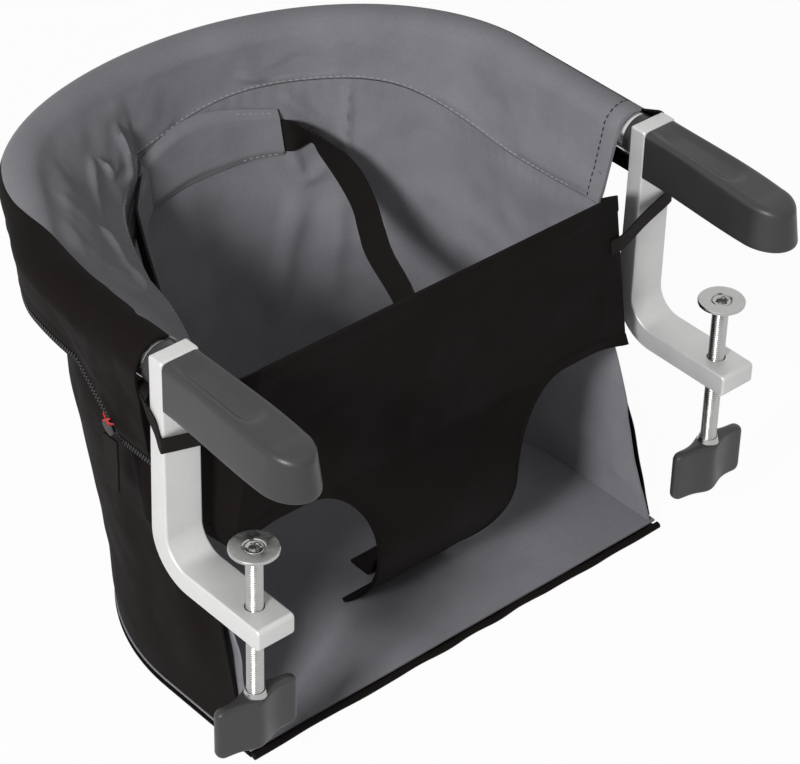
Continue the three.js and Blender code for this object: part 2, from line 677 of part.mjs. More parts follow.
function leanIn(curve, amount) {
  const directions = outward(curve);
  return curve.map(([x, y], i) => {
    const lean = amount * slackAlong(i);
    return [x - directions[i].x * lean, y - directions[i].y * lean];
  });
}

const linerCurve = (z) => leanIn(planU(linerHalfWidth(z), wallFront(z), linerBack(z), wallBow(z)),
  SLACK * slackDown(z));
const shellCurve = (z) => leanIn(planU(shellHalfWidth(z), wallFront(z), shellBack(z), wallBow(z),
  linerHalfWidth(z) + SHELL_FRONT_OUTSET), SHELL_SLACK * shellSlackDown(z));
const level = (curve, z) => curve.map(([x, y]) => vec(x, y, z));

const wallLevels = (top) => [top, lerp(top, WAIST_Z, 1 / 3), lerp(top, WAIST_Z, 2 / 3), WAIST_Z, PANEL_EAR_Z,
  WALL_KNEE_Z, lerp(FOOT_BOTTOM, WALL_FOOT_Z, 0.5), WALL_FOOT_Z];
const linerGrid = wallLevels(SEAM_Z - SEAM_GAP).map((z) => level(linerCurve(z), z));
const shellGrid = wallLevels(SHELL_TOP_Z).map((z) => level(shellCurve(z), z));

const CORNER = STRAIGHT_STEPS + CORNER_STEPS;
const LAST = linerGrid[0].length - 1;
const panels = [['left', 0, CORNER], ['back', CORNER, LAST - CORNER], ['right', LAST - CORNER, LAST]];
for (const [side, start, end] of panels) {
  add(`${side}_liner`, sheet(columnsOf(linerGrid, start, end), CLOTH), greyCloth());
  add(`${side}_shell`, sheet(columnsOf(shellGrid, start, end), CLOTH), blackCloth());
}

// Half of the tube sleeve, from the seam on the tube's top round to the given angle
const CUFF_TAIL_END = CUFF_TAIL_Y + CUFF_TAIL_LENGTH;
const sleeveStations = [SLEEVE_FRONT, CUFF_TAIL_Y, CUFF_TAIL_END, (CUFF_TAIL_END + TUBE_BACK - TUBE_BOW) / 2];
const sleevePlan = (outset) => planU(CLAMP_X + outset, SLEEVE_FRONT, TUBE_BACK + outset, TUBE_BOW,
  CLAMP_X + outset, sleeveStations);
const sleeveCurve = sleevePlan(0);
const sleeveOut = outward(sleeveCurve);

function sleeveRow(angleAt) {
  return sleeveCurve.map(([x, y], i) => {
    const angle = THREE.MathUtils.degToRad(angleAt(i));
    const out = SLEEVE_R * Math.cos(angle);
    return vec(x + sleeveOut[i].x * out, y + sleeveOut[i].y * out, TUBE_Z + SLEEVE_R * Math.sin(angle));
  });
}

// Rows over the inside of the tube, fewer degrees of it where the band leans in, then down to the seam
const TOP_SEAM = 3;
const BAND_WRAP = 105;
const BAND_STEPS = 6;
const CUFF_WRAP = 90;
const CUFF_STEPS = 5;
const bandRows = Array.from({ length: BAND_STEPS + 1 }, (_, row) => sleeveRow((i) => 90 + TOP_SEAM
  + (BAND_WRAP - SLACK_LIFT * slackAlong(i)) * (row / BAND_STEPS)));
const seamPlan = planU(SEAM_HALF_WIDTH, SLEEVE_FRONT, SEAM_BACK, TUBE_BOW, SEAM_HALF_WIDTH, sleeveStations);
bandRows.push(level(leanIn(seamPlan, SLACK), SEAM_Z));
add('rim_band', sheet(bandRows, CLOTH), greyCloth());

// The cuff hangs down to the zip, in a slanted tail at its front ends
const tailShare = (y) => 1 - THREE.MathUtils.clamp((y - CUFF_TAIL_Y) / CUFF_TAIL_LENGTH, 0, 1);
const cuffEdgeZ = (y) => CUFF_EDGE_Z - CUFF_TAIL_DROP * tailShare(y);
const cuffEdge = (drop) => sleevePlan(CUFF_OUTSET).map(([x, y]) => vec(x, y, cuffEdgeZ(y) - drop));
const cuffRows = Array.from({ length: CUFF_STEPS + 1 }, (_, row) => sleeveRow(() => 90 - TOP_SEAM
  - CUFF_WRAP * (row / CUFF_STEPS)));
cuffRows.push(cuffEdge(0));
add('outer_cuff', sheet(cuffRows, CLOTH), blackCloth());
add('zip_chain', sheet([cuffEdge(SEAM_GAP), cuffEdge(SEAM_GAP + ZIP_WIDTH)], CLOTH), blackPlastic());

// Zip slider at the lower end of the slanted stretch on the left, and its webbing pull

const SLIDER_Y = CUFF_TAIL_Y + SLIDER_FROM_END;
const SLIDER_X = -(CLAMP_X + CUFF_OUTSET + CLOTH / 2 + GAP);
const SLIDER_Z = cuffEdgeZ(SLIDER_Y) - SEAM_GAP - ZIP_WIDTH / 2;
const zipSlope = Math.atan2(CUFF_TAIL_DROP, CUFF_TAIL_LENGTH);
const slider = new THREE.BoxGeometry(SLIDER_HEIGHT, SLIDER_LENGTH, SLIDER_WIDTH).rotateX(zipSlope);
add('zip_slider', slider.translate(SLIDER_X - SLIDER_HEIGHT / 2, SLIDER_Y, SLIDER_Z), zinc());
const SLIDER_HALF_DIAGONAL = (SLIDER_LENGTH * Math.sin(zipSlope) + SLIDER_WIDTH * Math.cos(zipSlope)) / 2;
const PULL_TOP = SLIDER_Z - SLIDER_HALF_DIAGONAL - PULL_PLAY;
const pullX = SLIDER_X - SLIDER_HEIGHT / 2;
add('zip_pull', strap([[vec(pullX, SLIDER_Y, PULL_TOP), vec(0, 1, 0)],
  [vec(pullX, SLIDER_Y, PULL_TOP - PULL_LENGTH), vec(0, 1, 0)]], PULL_WIDTH, WEBBING), webbing());

// Seat floor: liner, stiffener and cover, with piping along the front edge

function floorLayer(top, thickness, inset) {
  const outline = planU(BASE_HALF_WIDTH - inset, BASE_FRONT + inset, BASE_BACK - inset, BASE_BOW);
  const shape = new THREE.Shape(outline.map(([x, y]) => new THREE.Vector2(x, y)));
  const layer = new THREE.ExtrudeGeometry(shape, { depth: thickness, bevelEnabled: false });
  return layer.translate(0, 0, top - thickness);
}

const BOARD_TOP = FLOOR_Z - CLOTH - GAP;
const COVER_TOP = BOARD_TOP - BOARD_THICKNESS - GAP;
add('base_liner', floorLayer(FLOOR_Z, CLOTH, 0), greyCloth());
add('base_board', floorLayer(BOARD_TOP, BOARD_THICKNESS, BOARD_INSET), board());
add('base_cover', floorLayer(COVER_TOP, CLOTH, 0), blackCloth());

const PIPING_Y = BASE_FRONT - PIPING_R - GAP;
const PIPING_Z = (FLOOR_Z + COVER_TOP - CLOTH) / 2;
const piping = new THREE.CylinderGeometry(PIPING_R, PIPING_R, 2 * BASE_HALF_WIDTH, 10).rotateZ(Math.PI / 2);
add('base_piping', piping.translate(0, PIPING_Y, PIPING_Z), blackCloth());

// Front panel: cut out for the legs, drawn in to the crotch strip and sewn to the floor

const PANEL_FOOT_Z = FLOOR_Z + GAP + CLOTH / 2;
const CROTCH_Z = FLOOR_Z + CROTCH_RISE;
const panelHeight = (z) => THREE.MathUtils.clamp((z - PANEL_FOOT_Z) / (CROTCH_Z - PANEL_FOOT_Z), 0, 1);
const crotchHalfWidth = (z) => lerp(CROTCH_FOOT_HALF_WIDTH, CROTCH_HALF_WIDTH, panelHeight(z) ** 0.6);
const crotchLevels = [1 / 3, 2 / 3].map((t) => lerp(PANEL_FOOT_Z, CROTCH_Z, t));
const LEG_STEPS = 4;
const legRound = Array.from({ length: LEG_STEPS + 1 }, (_, i) => {
  const angle = ((Math.PI / 2) * i) / LEG_STEPS;
  const x = CROTCH_HALF_WIDTH + LEG_ROUND_WIDTH * (1 - Math.cos(angle));
  return [x, lerp(CROTCH_Z, LEG_TOP_Z, Math.sin(angle))];
});
const legEdge = [
  ...[0, 0.5, 1].map((t) => [t * CROTCH_FOOT_HALF_WIDTH, PANEL_FOOT_Z]),
  ...crotchLevels.map((z) => [crotchHalfWidth(z), z]),
  ...legRound,
  [PANEL_EAR_HALF_WIDTH - LEG_FLAT_END, LEG_TOP_Z],
  [PANEL_EAR_HALF_WIDTH, PANEL_EAR_Z],
];

// The panel swells below the leg holes' tops, then sweeps back to the floor
function panelDepth(z) {
  const fall = THREE.MathUtils.clamp((LEG_TOP_Z - z) / (LEG_TOP_Z - CROTCH_Z), 0, 1);
  const swell = PANEL_Y - PANEL_BULGE * Math.sin((Math.PI / 2) * fall);
  return lerp(swell, CROTCH_FOOT_Y, (1 - panelHeight(z)) ** 1.75);
}

const panelSpread = (z) => lerp(PANEL_TOP_HALF_WIDTH, PANEL_EAR_HALF_WIDTH,
  THREE.MathUtils.clamp((PANEL_TOP_Z - z) / (PANEL_TOP_Z - PANEL_EAR_Z), 0, 1)) / PANEL_EAR_HALF_WIDTH;
const PANEL_ROWS = 12;

function panelColumn([x, bottom]) {
  return Array.from({ length: PANEL_ROWS + 1 }, (_, i) => {
    const z = lerp(PANEL_TOP_Z, bottom, i / PANEL_ROWS);
    return vec(x * panelSpread(z), panelDepth(z), z);
  });
}

// Side edge of the panel, turned back to the side wall's front edge
function panelReturn(sign) {
  return Array.from({ length: PANEL_ROWS + 1 }, (_, i) => {
    const z = lerp(PANEL_RETURN_TOP_Z, PANEL_EAR_Z, i / PANEL_ROWS);
    return vec(sign * linerHalfWidth(z), WALL_FRONT_Y - SEAM_GAP, z);
  });
}

const rightColumns = legEdge.map(panelColumn);
const leftColumns = legEdge.slice(1).map(([x, z]) => panelColumn([-x, z])).reverse();
const panelGrid = [panelReturn(-1), ...leftColumns, ...rightColumns, panelReturn(1)];
add('front_panel', sheet(panelGrid, CLOTH), blackCloth());

// Harness: lap strap through a sewn keeper on the back, buckle and crotch strap behind the front panel

// Point at an offset inside the back wall
function onBackWall(x, z, offset) {
  const curve = linerCurve(z);
  const i = curve.findIndex(([, y], k) => y > TUBE_BACK - TUBE_BOW && curve[k + 1][0] >= x);
  const [x0, y0] = curve[i];
  const [x1, y1] = curve[i + 1];
  const inward = new THREE.Vector2(y1 - y0, x0 - x1).normalize();
  return vec(x + inward.x * offset, lerp(y0, y1, (x - x0) / (x1 - x0)) + inward.y * offset, z);
}

const STRAP_OFFSET = CLOTH / 2 + KEEPER_PLAY + WEBBING / 2;
const KEEPER_OFFSET = STRAP_OFFSET + WEBBING / 2 + KEEPER_PLAY + CLOTH / 2;
const KEEPER_EDGE_OFFSET = CLOTH + KEEPER_PLAY;
const KEEPER_HEM = 0.14;
const keeperRows = [[0, KEEPER_EDGE_OFFSET], [KEEPER_HEM, KEEPER_OFFSET], [1 - KEEPER_HEM, KEEPER_OFFSET],
  [1, KEEPER_EDGE_OFFSET]];
const KEEPER_STEPS = 8;
const keeperStations = Array.from({ length: KEEPER_STEPS + 1 }, (_, i) => KEEPER_X
  + lerp(-KEEPER_HALF_WIDTH, KEEPER_HALF_WIDTH, i / KEEPER_STEPS));
const keeperGrid = keeperRows.map(([t, offset]) => keeperStations.map((x) => onBackWall(x,
  KEEPER_TOP_Z - KEEPER_HEIGHT * t, offset)));
add('harness_keeper', sheet(keeperGrid, CLOTH), greyCloth());

const LAP_Z = KEEPER_TOP_Z - KEEPER_HEIGHT / 2;
const TONGUE_X = (BUCKLE_WIDTH - TONGUE_WIDTH) / 2 - BUCKLE_WALL;
const TONGUE_Y = BUCKLE_Y + BUCKLE_DEPTH / 2;
const TONGUE_TOP = BUCKLE_TOP_Z + TONGUE_BAR_HEIGHT;
const upright = vec(0, 0, 1);
const lapEnd = (x) => vec(x, TONGUE_Y + TONGUE_THICKNESS / 2 + GAP + WEBBING / 2, TONGUE_TOP + TONGUE_LIP);
const lapLeft = [lapEnd(-TONGUE_X), ...LAP_LEFT_ROUTE.map((p) => vec(...p))];
const lapRight = LAP_RIGHT_ROUTE.map(([p, across]) => [vec(...p), vec(...across).normalize()]);
const KEEPER_END = KEEPER_HALF_WIDTH + KEEPER_LEAD;
const lapBack = [KEEPER_X - KEEPER_END, ...keeperStations, KEEPER_X + KEEPER_END].map((x) => {
  const offset = Math.abs(x - KEEPER_X) < KEEPER_END ? STRAP_OFFSET : KEEPER_OFFSET;
  const upper = onBackWall(x, LAP_Z + WEBBING_WIDTH / 2, offset);
  const lower = onBackWall(x, LAP_Z - WEBBING_WIDTH / 2, offset);
  return [upper.clone().lerp(lower, 0.5), upper.clone().sub(lower).normalize()];
});
const free = (points) => points.map((p) => [p, upright]);
const lapRoute = [...free(lapLeft), ...lapBack, ...lapRight, [lapEnd(TONGUE_X), upright]];
add('lap_strap', strap(lapRoute, WEBBING_WIDTH, WEBBING), webbing());

const BUCKLE_BACK = BUCKLE_Y + BUCKLE_DEPTH;
const BUCKLE_BOTTOM = BUCKLE_TOP_Z - BUCKLE_HEIGHT;
const BUTTON_Z = BUCKLE_TOP_Z - 0.6 * BUCKLE_HEIGHT;
const tongueSlot = (x, clearance) => box(
  [x - TONGUE_WIDTH / 2 - clearance, x + TONGUE_WIDTH / 2 + clearance],
  [TONGUE_Y - TONGUE_THICKNESS / 2 - clearance, TONGUE_Y + TONGUE_THICKNESS / 2 + clearance],
  [BUCKLE_TOP_Z - TONGUE_ENGAGED - clearance, BUCKLE_TOP_Z + OVERRUN]);
const buttonBlock = (clearance, depth, proud) => box(
  [-BUTTON_WIDTH / 2 - clearance, BUTTON_WIDTH / 2 + clearance], [BUCKLE_BACK - depth, BUCKLE_BACK + proud],
  [BUTTON_Z - BUTTON_HEIGHT / 2 - clearance, BUTTON_Z + BUTTON_HEIGHT / 2 + clearance]);
const buckleBody = box([-BUCKLE_WIDTH / 2, BUCKLE_WIDTH / 2], [BUCKLE_Y, BUCKLE_BACK],
  [BUCKLE_BOTTOM, BUCKLE_TOP_Z]);
add('harness_buckle', cut(buckleBody, tongueSlot(-TONGUE_X, GAP), tongueSlot(TONGUE_X, GAP),
  buttonBlock(GAP, BUTTON_SEAT, OVERRUN)), blackPlastic());
add('buckle_button', buttonBlock(0, BUTTON_SEAT - BUTTON_PROUD - GAP, BUTTON_PROUD), plastic());
for (const [side, x] of [['left', -TONGUE_X], ['right', TONGUE_X]]) {
  const blade = tongueSlot(x, 0);
  const bar = box([x - TONGUE_WIDTH / 2 - TONGUE_LIP, x + TONGUE_WIDTH / 2 + TONGUE_LIP],
    [TONGUE_Y - TONGUE_THICKNESS / 2, TONGUE_Y + TONGUE_THICKNESS / 2], [BUCKLE_TOP_Z + GAP, TONGUE_TOP]);
  add(`${side}_buckle_tongue`, join(blade, bar), blackPlastic());
}

const acrossX = vec(1, 0, 0);
const crotchFloor = FLOOR_Z + GAP + WEBBING / 2;
const CROTCH_STRAP_STEPS = 5;
const crotchRoute = Array.from({ length: CROTCH_STRAP_STEPS + 1 }, (_, i) => {
  const t = i / CROTCH_STRAP_STEPS;
  return [TONGUE_Y + CROTCH_STRAP_REACH * t ** 1.7, lerp(BUCKLE_BOTTOM - GAP, crotchFloor, t)];
});
crotchRoute.push([TONGUE_Y + CROTCH_STRAP_REACH + CROTCH_STRAP_SEWN, crotchFloor]);
const crotchPoints = crotchRoute.map(([y, z]) => [vec(0, y, z), acrossX]);
add('crotch_strap', strap(crotchPoints, WEBBING_WIDTH, WEBBING), webbing());

export default chair;
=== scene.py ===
# Hook-on table chair: the looks of every piece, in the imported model's frame.
# Lengths are millimetres until make_mesh writes them in the frame's metres.
# Left is -X and the table lies towards -Y.

import math

import bmesh
import bpy
import numpy as np
from mathutils import Matrix, Vector, noise


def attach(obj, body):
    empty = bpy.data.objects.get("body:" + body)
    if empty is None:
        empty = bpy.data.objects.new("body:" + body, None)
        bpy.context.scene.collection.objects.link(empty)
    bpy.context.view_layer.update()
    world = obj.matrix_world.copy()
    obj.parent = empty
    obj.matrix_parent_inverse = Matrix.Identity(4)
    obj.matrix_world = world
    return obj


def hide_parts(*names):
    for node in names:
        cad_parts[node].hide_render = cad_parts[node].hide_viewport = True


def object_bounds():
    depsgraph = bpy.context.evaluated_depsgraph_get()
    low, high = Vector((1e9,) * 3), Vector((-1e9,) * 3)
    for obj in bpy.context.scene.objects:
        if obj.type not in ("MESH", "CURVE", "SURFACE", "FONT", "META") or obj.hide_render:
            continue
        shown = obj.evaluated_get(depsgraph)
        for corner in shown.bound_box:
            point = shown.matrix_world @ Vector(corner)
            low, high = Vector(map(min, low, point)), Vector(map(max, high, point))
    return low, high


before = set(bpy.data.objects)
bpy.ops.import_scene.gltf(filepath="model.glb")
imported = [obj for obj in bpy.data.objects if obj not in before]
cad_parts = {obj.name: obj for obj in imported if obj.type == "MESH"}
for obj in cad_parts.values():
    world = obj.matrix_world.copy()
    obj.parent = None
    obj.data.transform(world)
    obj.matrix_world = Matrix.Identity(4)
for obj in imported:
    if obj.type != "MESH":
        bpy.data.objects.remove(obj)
cad_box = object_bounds()
MM = 0.001
GAP = 0.3

# Clamps
CLAMP_X = 174
BRACKET_WIDTH = 25
BRACKET_TOP = 30.9
BAR_THICKNESS = 11.5
BEND_THICKNESS = 14
FOOT_TOP = -99.1
FOOT_LENGTH = 77.2
BEND_INNER_R = 16
EDGE_ROUND = 1.4
FOOT_NOSE_R = 3
ARM_CORE_LENGTH = 92
ARM_CORE_WIDTH = 14
ARM_CORE_HEIGHT = 20

# Arm pads
PAD_LENGTH = 106
PAD_NOSE = 22
PAD_HALF_WIDTH = 16.5
PAD_FLARE = 2.6
PAD_TOP_DROP = 4.5
PAD_EDGE_R = 4
PAD_SOLE_EDGE = 1.5
PAD_DISH_DEPTH = 2.6
PAD_DISH_R = 8.6
PAD_DISH_END = -55
PAD_DISH_BLEND = 4

# Screws and knobs
SCREW_Y = -58.7
SCREW_R = 4.9
THREAD_PITCH = 1.5
THREAD_DEPTH = 0.55
PLATE_TOP = -58.5
PLATE_R = 14
PLATE_RIM = 2
PLATE_CONE = 4.5
PLATE_HUB_R = 6.6
NECK_R = 4.4
LIP_R = 5.6
LIP_SUNK = 0.4
SOCKET_R = 3.5
SOCKET_DEPTH = 4
LIP_HEIGHT = 1.4
SCREW_CLEARANCE = 0.7
KNOB_TOP = -160
KNOB_HEIGHT = 34
KNOB_SPAN = 53
KNOB_HUB = 17
WING_THICKNESS = 6.5
WING_SWEEP = 5
KNOB_REST_ANGLE = math.radians(-14)
KNOB_ROUND = 2.4
WING_CORNER_R = 5
FERRULE_R = 6.8
FERRULE_TOP = -157
FERRULE_END = -180

# Tube, bushes and rivets
TUBE_R = 12.5
TUBE_Z = 17.5
TUBE_FRONT = 17.1
TUBE_BACK = 252
TUBE_BOW = 128
SPIGOT_R = 8
BUSH_FRONT = 11.8
BUSH_END = 16.8
RIVET_Y = 20.35
RIVET_HEAD_R = 3.2
RIVET_HEAD_TOP = 3.4
RIVET_HEAD = 1.6

# Fabric
CLOTH = 1.2
HEM = 2.4
SEAM_GAP = 0.7
SLEEVE_SEAM_GAP = 0.1
SLEEVE_R = 13.8
SLEEVE_FRONT = 20.8
LEFT_SLEEVE_FRONT = 19
SEAM_Z = -16.5
SEAM_HALF_WIDTH = 150
SEAM_BACK = 236
SEAM_BOW = 112
FLOOR_Z = -228.5
WALL_FOOT_Z = -228.2
BASE_HALF_WIDTH = 159
BASE_FRONT = -35.6
BASE_BACK = 192
BASE_BOW = 150
COVER_Z = -233.4
WAIST_Z = -70
KNEE_Z = -119.1
SHIN_Z = -170.6
WALL_SPACE = 4
LINER_WAIST_HALF_WIDTH = 151
LINER_WAIST_BACK = 221
SHELL_WAIST_HALF_WIDTH = 172
SHELL_WAIST_BACK = 226
SHELL_TOP_Z = -5
SLACK = 49
SLACK_STATIONS = 11
SHELL_SLACK = 23
SHELL_SET_BACK = 4
SHOULDER_PRESS = 15
SHOULDER_STATION = 5.9
SHOULDER_REACH = 2.0
SLEEVE_FIRST_ANGLE = -3
SLEEVE_LAST_ANGLE = 158
SLEEVE_SLACK_ANGLE = 36
CUFF_EDGE_Z = -10
CUFF_OUTSET = 7
CUFF_TAIL_DROP = 32
CUFF_TAIL_Y = 45
CUFF_TAIL_LENGTH = 37
HEM_DEPTH = 9
STITCH_RISE = 0.55
WALL_FRONT_Y = 20
PIPING_R = 2.2
PIPING_Y = -38.1
PIPING_Z = -231.25

# Front panel
PANEL_TOP_Z = 6
PANEL_Y = -9.7
PANEL_TOP_HALF_WIDTH = 131
PANEL_EAR_HALF_WIDTH = 148
PANEL_RETURN_TOP_Z = -18
PANEL_EAR_Z = -105
PANEL_EAR_LENGTH = 28
PANEL_FOOT_Z = -227.6
LEG_TOP_Z = -99
LEG_ROUND_WIDTH = 47
CROTCH_HALF_WIDTH = 53
CROTCH_Z = -154.5
CROTCH_FOOT_HALF_WIDTH = 37
CROTCH_FOOT_Y = 28.5
PANEL_BULGE = 10.5

# Harness, tension straps and zip
WEBBING_WIDTH = 20
WEBBING = 1.4
KEEPER_RIGHT = 71
KEEPER_LEFT = -80
KEEPER_TOP = [(-80, -42), (-27, -22), (16, -11), (71, -20)]
KEEPER_BOTTOM = [(-80, -64), (-14, -53), (43, -48.5), (71, -49)]
KEEPER_PLAY = 0.95
KEEPER_LEAD = 5
LAP_KEPT_LEFT = -34
LAP_KEPT_Z = -36
LAP_LEFT_ROUTE = [(-45, 20, -67), (-84, 32, -66), (-103, 66, -61), (-97, 108, -53), (-80, 146, -47),
                  (-64, 178, -42), (-50, 202, -38)]
LAP_RIGHT_ROUTE = [
    ((80, 200, -35), (-0.47, -0.35, 0.81)),
    ((86, 193, -43), (-0.18, -0.57, 0.8)),
    ((87.4, 180, -48.3), (0.12, -0.59, 0.8)),
    ((87, 166, -55.7), (0.25, -0.63, 0.73)),
    ((82, 150, -62), (0.23, -0.78, 0.59)),
    ((72.7, 133, -66.5), (0.27, -0.78, 0.57)),
    ((62, 113, -69), (0.29, -0.8, 0.52)),
    ((45, 74, -68), (0.15, -0.65, 0.74)),
    ((26, 38, -68), (0, -0.25, 0.97)),
]
BUCKLE_HALF_WIDTH = 19
BUCKLE_FRONT = 3
BUCKLE_BACK = 15
BUCKLE_TOP_Z = -80
BUCKLE_BOTTOM_Z = -120
BUTTON_HALF_WIDTH = 10
BUTTON_Z = -104
BUTTON_HALF_HEIGHT = 7
BUTTON_BACK = 18
BUTTON_RIB_HALF_LENGTH = 7
BUTTON_RIB_HALF_HEIGHT = 0.5
TONGUE_X = 9.5
TONGUE_Y = 9
TONGUE_TOP_Z = -68
TONGUE_HALF_WIDTH = 8.5
TONGUE_HALF_THICKNESS = 1.5
CROTCH_STRAP_REACH = 28
CROTCH_STRAP_SEWN = 16
STRAP_WIDTH = 10
STRAP = 1
STRAP_Z = -21
STRAP_PANEL_Z = -28
ZIP_WIDTH = 6
SLIDER_Y = 51
SLIDER_X = -183.4
SLIDER_Z = -40.5
PULL_TOP_Z = -47.4
PULL_LENGTH = 34
PULL_WIDTH = 12
TIE_RISE = 6
TIE_OUTSET = 2.4
TIE_R = 0.5
ZIP_TEETH = 330

# Stations along a U, as in the solids: a straight side, the arc of the back, the other side
SIDE_STATIONS = 4
ARC_STATIONS = 16
STATIONS = 2 * SIDE_STATIONS + ARC_STATIONS
CORNER_STATION = 7

# Mesh helpers


def lerp(a, b, t):
    return a + (b - a) * t


def smoothstep(low, high, value):
    t = np.clip((value - low) / (high - low), 0, 1)
    return t * t * (3 - 2 * t)


def unit(vectors):
    return vectors / np.maximum(np.linalg.norm(vectors, axis=-1, keepdims=True), 1e-9)


def make_mesh(name, points, faces, material, sharp=40, uv=None):
    """Object of these points and faces, smooth apart from edges sharper than the given angle."""
    mesh = bpy.data.meshes.new(name)
    mesh.from_pydata((np.asarray(points) * MM).tolist(), [], [list(map(int, f)) for f in faces])
    if uv is not None:
        layer = mesh.uv_layers.new(name="UVMap")
        index = np.empty(len(mesh.loops), int)
        mesh.loops.foreach_get("vertex_index", index)
        layer.data.foreach_set("uv", (np.asarray(uv)[index] * MM).ravel())
    shape = bmesh.new()
    shape.from_mesh(mesh)
    bmesh.ops.remove_doubles(shape, verts=shape.verts, dist=1e-7)
    bmesh.ops.recalc_face_normals(shape, faces=shape.faces)
    shape.to_mesh(mesh)
    shape.free()
    mesh.shade_smooth()
    mesh.set_sharp_from_angle(angle=math.radians(sharp))
    mesh.materials.append(material)
    made = bpy.data.objects.new(name, mesh)
    bpy.context.scene.collection.objects.link(made)
    return made


def joined(parts):
    """Points and faces of several parts as one."""
    points, faces, start = [], [], 0
    for part_points, part_faces in parts:
        points.append(np.asarray(part_points, float))
        faces += [[int(v) + start for v in f] for f in part_faces]
        start += len(part_points)
    return np.concatenate(points), faces


def dress(piece, body, slot, *nodes):
    """The piece rides a body and stands for these nodes, which it hides; the slot argument is not used."""
    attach(piece, body)
    if nodes:
        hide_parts(*nodes)
    return piece


def grid_normals(grid):
    along = np.gradient(grid, axis=0)
    across = np.gradient(grid, axis=1)
    return unit(np.cross(across, along))


def sheet_parts(grid, thickness):
    """Points, faces and flat coordinates of a closed sheet about a grid of points."""
    rows, columns = grid.shape[:2]
    half = np.broadcast_to(np.asarray(thickness, float) / 2, (rows, columns))[..., None]
    normal = grid_normals(grid)
    points = np.concatenate([(grid + normal * half).reshape(-1, 3), (grid - normal * half).reshape(-1, 3)])
    index = np.arange(rows * columns).reshape(rows, columns)
    quads = np.stack([index[:-1, :-1], index[:-1, 1:], index[1:, 1:], index[1:, :-1]], -1).reshape(-1, 4)
    border = np.concatenate([index[0, :-1], index[:-1, -1], index[-1, :0:-1], index[:0:-1, 0]])
    after = np.roll(border, -1)
    other = rows * columns
    rim = np.stack([border, border + other, after + other, after], -1)
    down = np.linalg.norm(np.diff(grid, axis=0), axis=-1).mean(1)
    along = np.linalg.norm(np.diff(grid, axis=1), axis=-1).mean(0)
    v, u = np.meshgrid(np.append(0, np.cumsum(down)), np.append(0, np.cumsum(along)), indexing="ij")
    flat = np.stack([u, v], -1).reshape(-1, 2)
    return points, np.concatenate([quads, quads[:, ::-1] + other, rim]), np.concatenate([flat, flat])


def make_sheet(name, grid, thickness, material):
    points, faces, flat = sheet_parts(grid, thickness)
    return make_mesh(name, points, faces, material, sharp=60, uv=flat)


def ring_parts(rings, caps=True):
    """Closed skin over a stack of rings, each a closed loop of as many points."""
    rings = np.asarray(rings, float)
    count, around = rings.shape[:2]
    index = np.arange(count * around).reshape(count, around)
    after = np.roll(index, -1, axis=1)
    quads = np.stack([index[:-1], after[:-1], after[1:], index[1:]], -1).reshape(-1, 4).tolist()
    ends = [index[0].tolist(), index[-1][::-1].tolist()] if caps else []
    return rings.reshape(-1, 3), quads + ends


def lathe_parts(profile, x, y, around=64, caps=True):
    """Solid of revolution about the vertical through (x, y), from (radius, z) points."""
    angle = np.linspace(0, 2 * math.pi, around, endpoint=False)
    circle = np.stack([np.cos(angle), np.sin(angle), np.zeros(around)], -1)
    return ring_parts([circle * r + (x, y, z) for r, z in profile], caps)


def lying_lathe_parts(profile, x, z):
    """Solid of revolution about the line along Y through (x, z), from (radius, y) points."""
    points, faces = lathe_parts(profile, x, z)
    return points[:, [0, 2, 1]], faces


def ring_solid_parts(profile, x, y, around=64):
    """Ring about the vertical through (x, y), from a closed loop of (radius, z) points."""
    return lathe_parts([*profile, profile[0]], x, y, around, caps=False)


def filleted(corners, steps=8):
    """Closed outline through (a, b, radius) corners, each rounded to its radius."""
    points = []
    flat = np.array([c[:2] for c in corners], float)
    for k, (a, b, radius) in enumerate(corners):
        here = np.array([a, b], float)
        before = unit(flat[k - 1] - here)
        after = unit(flat[(k + 1) % len(corners)] - here)
        half = math.acos(np.clip(before @ after, -1, 1)) / 2
        middle = here + unit(before + after) * radius / math.sin(half)
        start, end = here + before * radius / math.tan(half), here + after * radius / math.tan(half)
        for t in np.linspace(0, 1, steps + 1):
            points.append(middle + unit(lerp(start, end, t) - middle) * radius)
    return np.array(points)


def outline_normals(outline):
    ahead = np.roll(outline, -1, axis=0) - np.roll(outline, 1, axis=0)
    normal = unit(np.stack([ahead[:, 1], -ahead[:, 0]], -1))
    area = np.sum(outline[:, 0] * np.roll(outline[:, 1], -1) - np.roll(outline[:, 0], -1) * outline[:, 1])
    return normal if area > 0 else -normal


def rectangle(low_a, low_b, high_a, high_b, radius, steps=8):
    """Outline of a rectangle with rounded corners."""
    corners = [(low_a, low_b), (high_a, low_b), (high_a, high_b), (low_a, high_b)]
    return filleted([(*corner, radius) for corner in corners], steps)


def rounded_slab(outline, low, high, radius, place, steps=4):
    """Skin of an extruded outline with rounded edges. place(flat points, height) gives points in space."""
    normal = outline_normals(outline)
    quarter = np.linspace(0, math.pi / 2, steps + 1)
    edge = [(outline - normal * radius * (1 - math.sin(a)), radius * (1 - math.cos(a))) for a in quarter]
    rings = [place(flat, low + rise) for flat, rise in edge]
    rings += [place(flat, high - rise) for flat, rise in edge[::-1]]
    return ring_parts(rings)


def facing_place(flat, height):
    """Place for a slab whose outline stands in X and Z and whose thickness runs along Y."""
    return np.column_stack([flat[:, 0], np.full(len(flat), height), flat[:, 1]])


def side_place(x):
    """Place for a slab whose outline stands in Y and Z and whose thickness runs along X."""
    def place(flat, height):
        return np.column_stack([np.full(len(flat), height + x), flat[:, 0], flat[:, 1]])
    return place


def lengths_along(path):
    """Length along a path up to each of its points."""
    return np.append(0, np.cumsum(np.linalg.norm(np.diff(path, axis=0), axis=1)))


